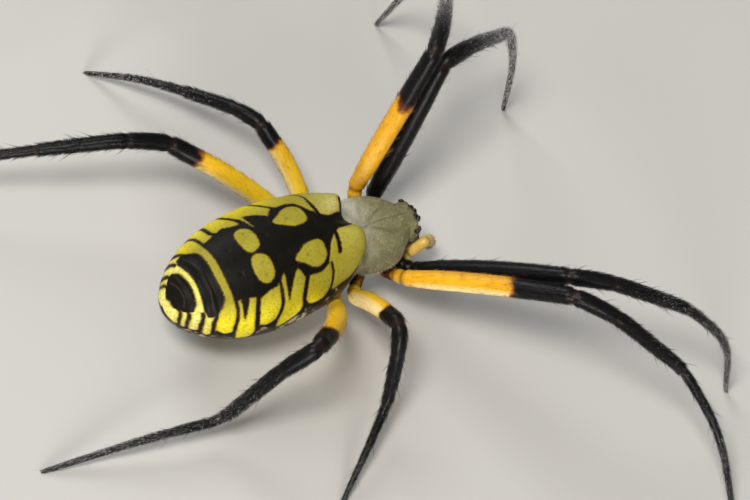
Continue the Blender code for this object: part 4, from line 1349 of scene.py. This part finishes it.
STERNUM_HALF = (1.8, 1.2, 0.75)
LABIUM_CENTRE = (1.62, 0.0, 2.82)
LABIUM_HALF = (0.24, 0.34, 0.26)
MAXILLA_CENTRE = (2.15, 0.60, 3.25)
MAXILLA_HALF = (0.52, 0.46, 0.52)
PLATE_INSET = 0.02                  # the plates' skins lie under their coats by this much
PEDICEL_ENDS = ((-4.00, 0.0, 4.95), (-5.05, 0.0, 5.10))
PEDICEL_GIRTH = (0.40, 0.36, 0.40)


def pebble_rings(centre, half, count, sides, shape=None):
    """Rings of an egg-shaped plate along X, with an optional change of its outline."""
    turn = np.linspace(0.0, math.pi, count + 2)[1:-1]
    angles = np.linspace(0.0, 2.0 * math.pi, sides, endpoint=False)
    turn, around = np.meshgrid(turn, angles, indexing="ij")
    unit = np.stack((np.cos(turn), np.sin(turn) * np.cos(around), np.sin(turn) * np.sin(around)),
                    axis=-1)
    if shape is not None:
        unit = shape(unit)
    return np.asarray(centre) + unit * np.asarray(half), unit


def heart(unit):
    """The sternum's outline: scalloped beside each leg root and pointed behind."""
    edge = np.hypot(unit[..., 0], unit[..., 1])
    bearing = np.arctan2(unit[..., 1], unit[..., 0])
    scallop = 1.0 - 0.05 * edge * (1.0 + np.cos(bearing * 8.0)) / 2.0
    narrow = 1.0 - 0.22 * np.clip(-unit[..., 0], 0.0, 1.0) ** 1.5
    return unit * np.stack((scallop, scallop * narrow, np.ones_like(edge)), axis=-1)


plate_material = cuticle_material("underside_plate", (0.02, 0.015, 0.012), 0.36, (0.12, 0.8, 0.016),
                                  ((0.014, 0.010, 0.008), (0.045, 0.028, 0.018)),
                                  ("band", (0.72, 0.56, 0.14)))

plates = [("sternum", STERNUM_CENTRE, STERNUM_HALF, heart),
          ("labium", LABIUM_CENTRE, LABIUM_HALF, None)]
for side, word in ((1, "left"), (-1, "right")):
    x, y, z = MAXILLA_CENTRE
    plates.append((f"maxilla_{word}", (x, y * side, z), MAXILLA_HALF, None))
for node, centre, half, shape in plates:
    rings, unit = pebble_rings(centre, np.array(half) - PLATE_INSET, 60, 64, shape)
    if node == "sternum":
        band = np.clip(1.4 - np.abs(unit[..., 1]) / 0.26, 0.0, 1.0) * (unit[..., 2] < 0)
        band = band * np.clip((0.86 - np.abs(unit[..., 0])) * 6.0, 0.0, 1.0)
    elif node == "labium":
        band = np.clip((unit[..., 0] - 0.35) * 4.0, 0.0, 0.7)
    else:
        band = np.clip((unit[..., 0] - 0.1) * 2.0, 0.0, 0.8)
    backward = np.broadcast_to(np.array((-1.0, 0.0, 0.0)), rings.shape)
    plate_marks = {"band": band, "cover": np.clip(-unit[..., 2] + 0.6, 0.0, 1.0),
                   "length": np.ones_like(band)}
    plate = skin_object(f"{node}_plate", rings, plate_marks, plate_material, backward)
    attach(plate, "root")
    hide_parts(node)
    hairs = grow_bristles(f"{node}_hairs", plate,
                          Per_square_mm=45.0, Length=0.34, Slimness=0.03, Rise=0.45,
                          Spread=0.3, Curl=0.15, Seed=101 + len(node), Finish=fringe_material)

rings, *_ = limb_rings(PEDICEL_ENDS, PEDICEL_GIRTH, 0.04, 0.1, 32)
pedicel = skin_object("pedicel_neck", rings, {"band": np.zeros(rings.shape[:2])}, plate_material)
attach(pedicel, "root")
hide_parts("pedicel")

# ---- Spinnerets ---------------------------------------------------------------------
# A tight rosette of three pairs of short brown cones under the abdomen's rear, on a low
# round base, each cone tipped with a brush of spigots that draw out the silk.

SPINNERET_CENTRE = np.array((-14.6, 0.0, 2.35))
SPINNERET_LEAN = 28.0
BASE_PROFILE = ((0.55, -0.50), (0.80, -0.35), (0.92, -0.05), (0.88, 0.20), (0.70, 0.36),
                (0.35, 0.42))
# Bearing of each pair from the front, distance from the middle, girth and length.
CONE_PAIRS = ((38.0, 0.60, 0.34, 1.25), (90.0, 0.34, 0.24, 0.95), (146.0, 0.56, 0.32, 1.10))

lean = math.radians(SPINNERET_LEAN)
down = np.array((-math.sin(lean), 0.0, -math.cos(lean)))
fore = np.array((math.cos(lean), 0.0, -math.sin(lean)))
beside = np.array((0.0, 1.0, 0.0))
rings = turned_rings(SPINNERET_CENTRE, down, BASE_PROFILE, 40)
base_piece = skin_object("spinneret_base", rings, {"band": np.zeros(rings.shape[:2])},
                         plate_material)
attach(base_piece, "root")
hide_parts("spinnerets")
spinneret_material = cuticle_material("spinneret_skin", (0.10, 0.05, 0.03), 0.4, (0.07, 0.4, 0.010),
                                      ((0.050, 0.024, 0.012), (0.16, 0.085, 0.040)))
for index, (bearing, away, girth, length) in enumerate(CONE_PAIRS):
    for side, word in ((1, "left"), (-1, "right")):
        turn = math.radians(bearing)
        spread = fore * math.cos(turn) + beside * side * math.sin(turn)
        root = SPINNERET_CENTRE + spread * away + down * 0.05
        tip = root + down * length - spread * 0.28
        rings, lie, _, shares, _ = limb_rings((root, root * 0.5 + tip * 0.5 + spread * 0.08, tip),
                                              (girth, girth * 0.95, girth * 0.62, girth * 0.45),
                                              0.05, 0.15, 22, ((0.55, 0.14),))
        everywhere = np.ones(rings.shape[:2])
        cover = everywhere * np.interp(shares, (0.0, 0.6, 1.0), (0.3, 0.6, 1.6))[:, None]
        cone_marks = {"cover": cover, "length": everywhere}
        cone = skin_object(f"spinneret_{index + 1}_{word}", rings, cone_marks, spinneret_material,
                           lie)
        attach(cone, "root")
        brush = grow_bristles(f"spinneret_hairs_{index + 1}_{word}", cone,
                              Per_square_mm=60.0, Length=0.22, Slimness=0.04, Rise=0.35,
                              Spread=0.2, Curl=0.05, Seed=121 + index * 2 + side,
                              Finish=fringe_material)

# ---- Claws --------------------------------------------------------------------------
# Each foot ends in three small hooked claws of polished black horn, two combed ones side by
# side and a middle one below them that grips the web's threads.

CLAW_SIZE = 0.42
CLAW_CURL = 1.5                     # how far round a claw bends, in radians
CLAW_DROP = 0.32                    # how far it hooks down, and how far it parts, by its size
CLAW_PARTING = 0.25
# Which way each of the three claws stands aside, and its size.
CLAWS = ((1.0, CLAW_SIZE), (-1.0, CLAW_SIZE), (0.0, CLAW_SIZE * 0.7))


def claw_rings(root, along, side_way, size):
    """Rings of one hooked claw that leaves its root along the foot and curls down."""
    steps = np.linspace(0.0, 1.0, 12)
    reach = np.outer(np.sin(steps * CLAW_CURL) * size, along)
    fall = np.outer((1.0 - np.cos(steps * CLAW_CURL)) * size * CLAW_DROP, (0.0, 0.0, -1.0))
    line = root + reach + fall + np.outer(steps * size * CLAW_PARTING, side_way)
    line[:, 2] = np.maximum(line[:, 2], 0.035)
    radii = 0.050 * (1.0 - steps) ** 0.7 + 0.008
    rings, _ = tube_rings(line, radii, 10)
    rings[..., 2] = np.maximum(rings[..., 2], 0.0)
    return rings


for leg_name, (_, line) in legs.items():
    along = line[-1] - line[-6]
    along[2] *= 0.25
    along = along / np.linalg.norm(along)
    side_way = np.cross(along, (0.0, 0.0, 1.0))
    side_way /= np.linalg.norm(side_way)
    root = line[-3].copy()
    root[2] = max(root[2], 0.14)
    for index, (sideways, size) in enumerate(CLAWS):
        rings = claw_rings(root + side_way * sideways * 0.05, along, side_way * sideways, size)
        claw = skin_object(f"leg_{leg_name}_claw_{index + 1}", rings, {}, fang_material)
        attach(claw, "root")
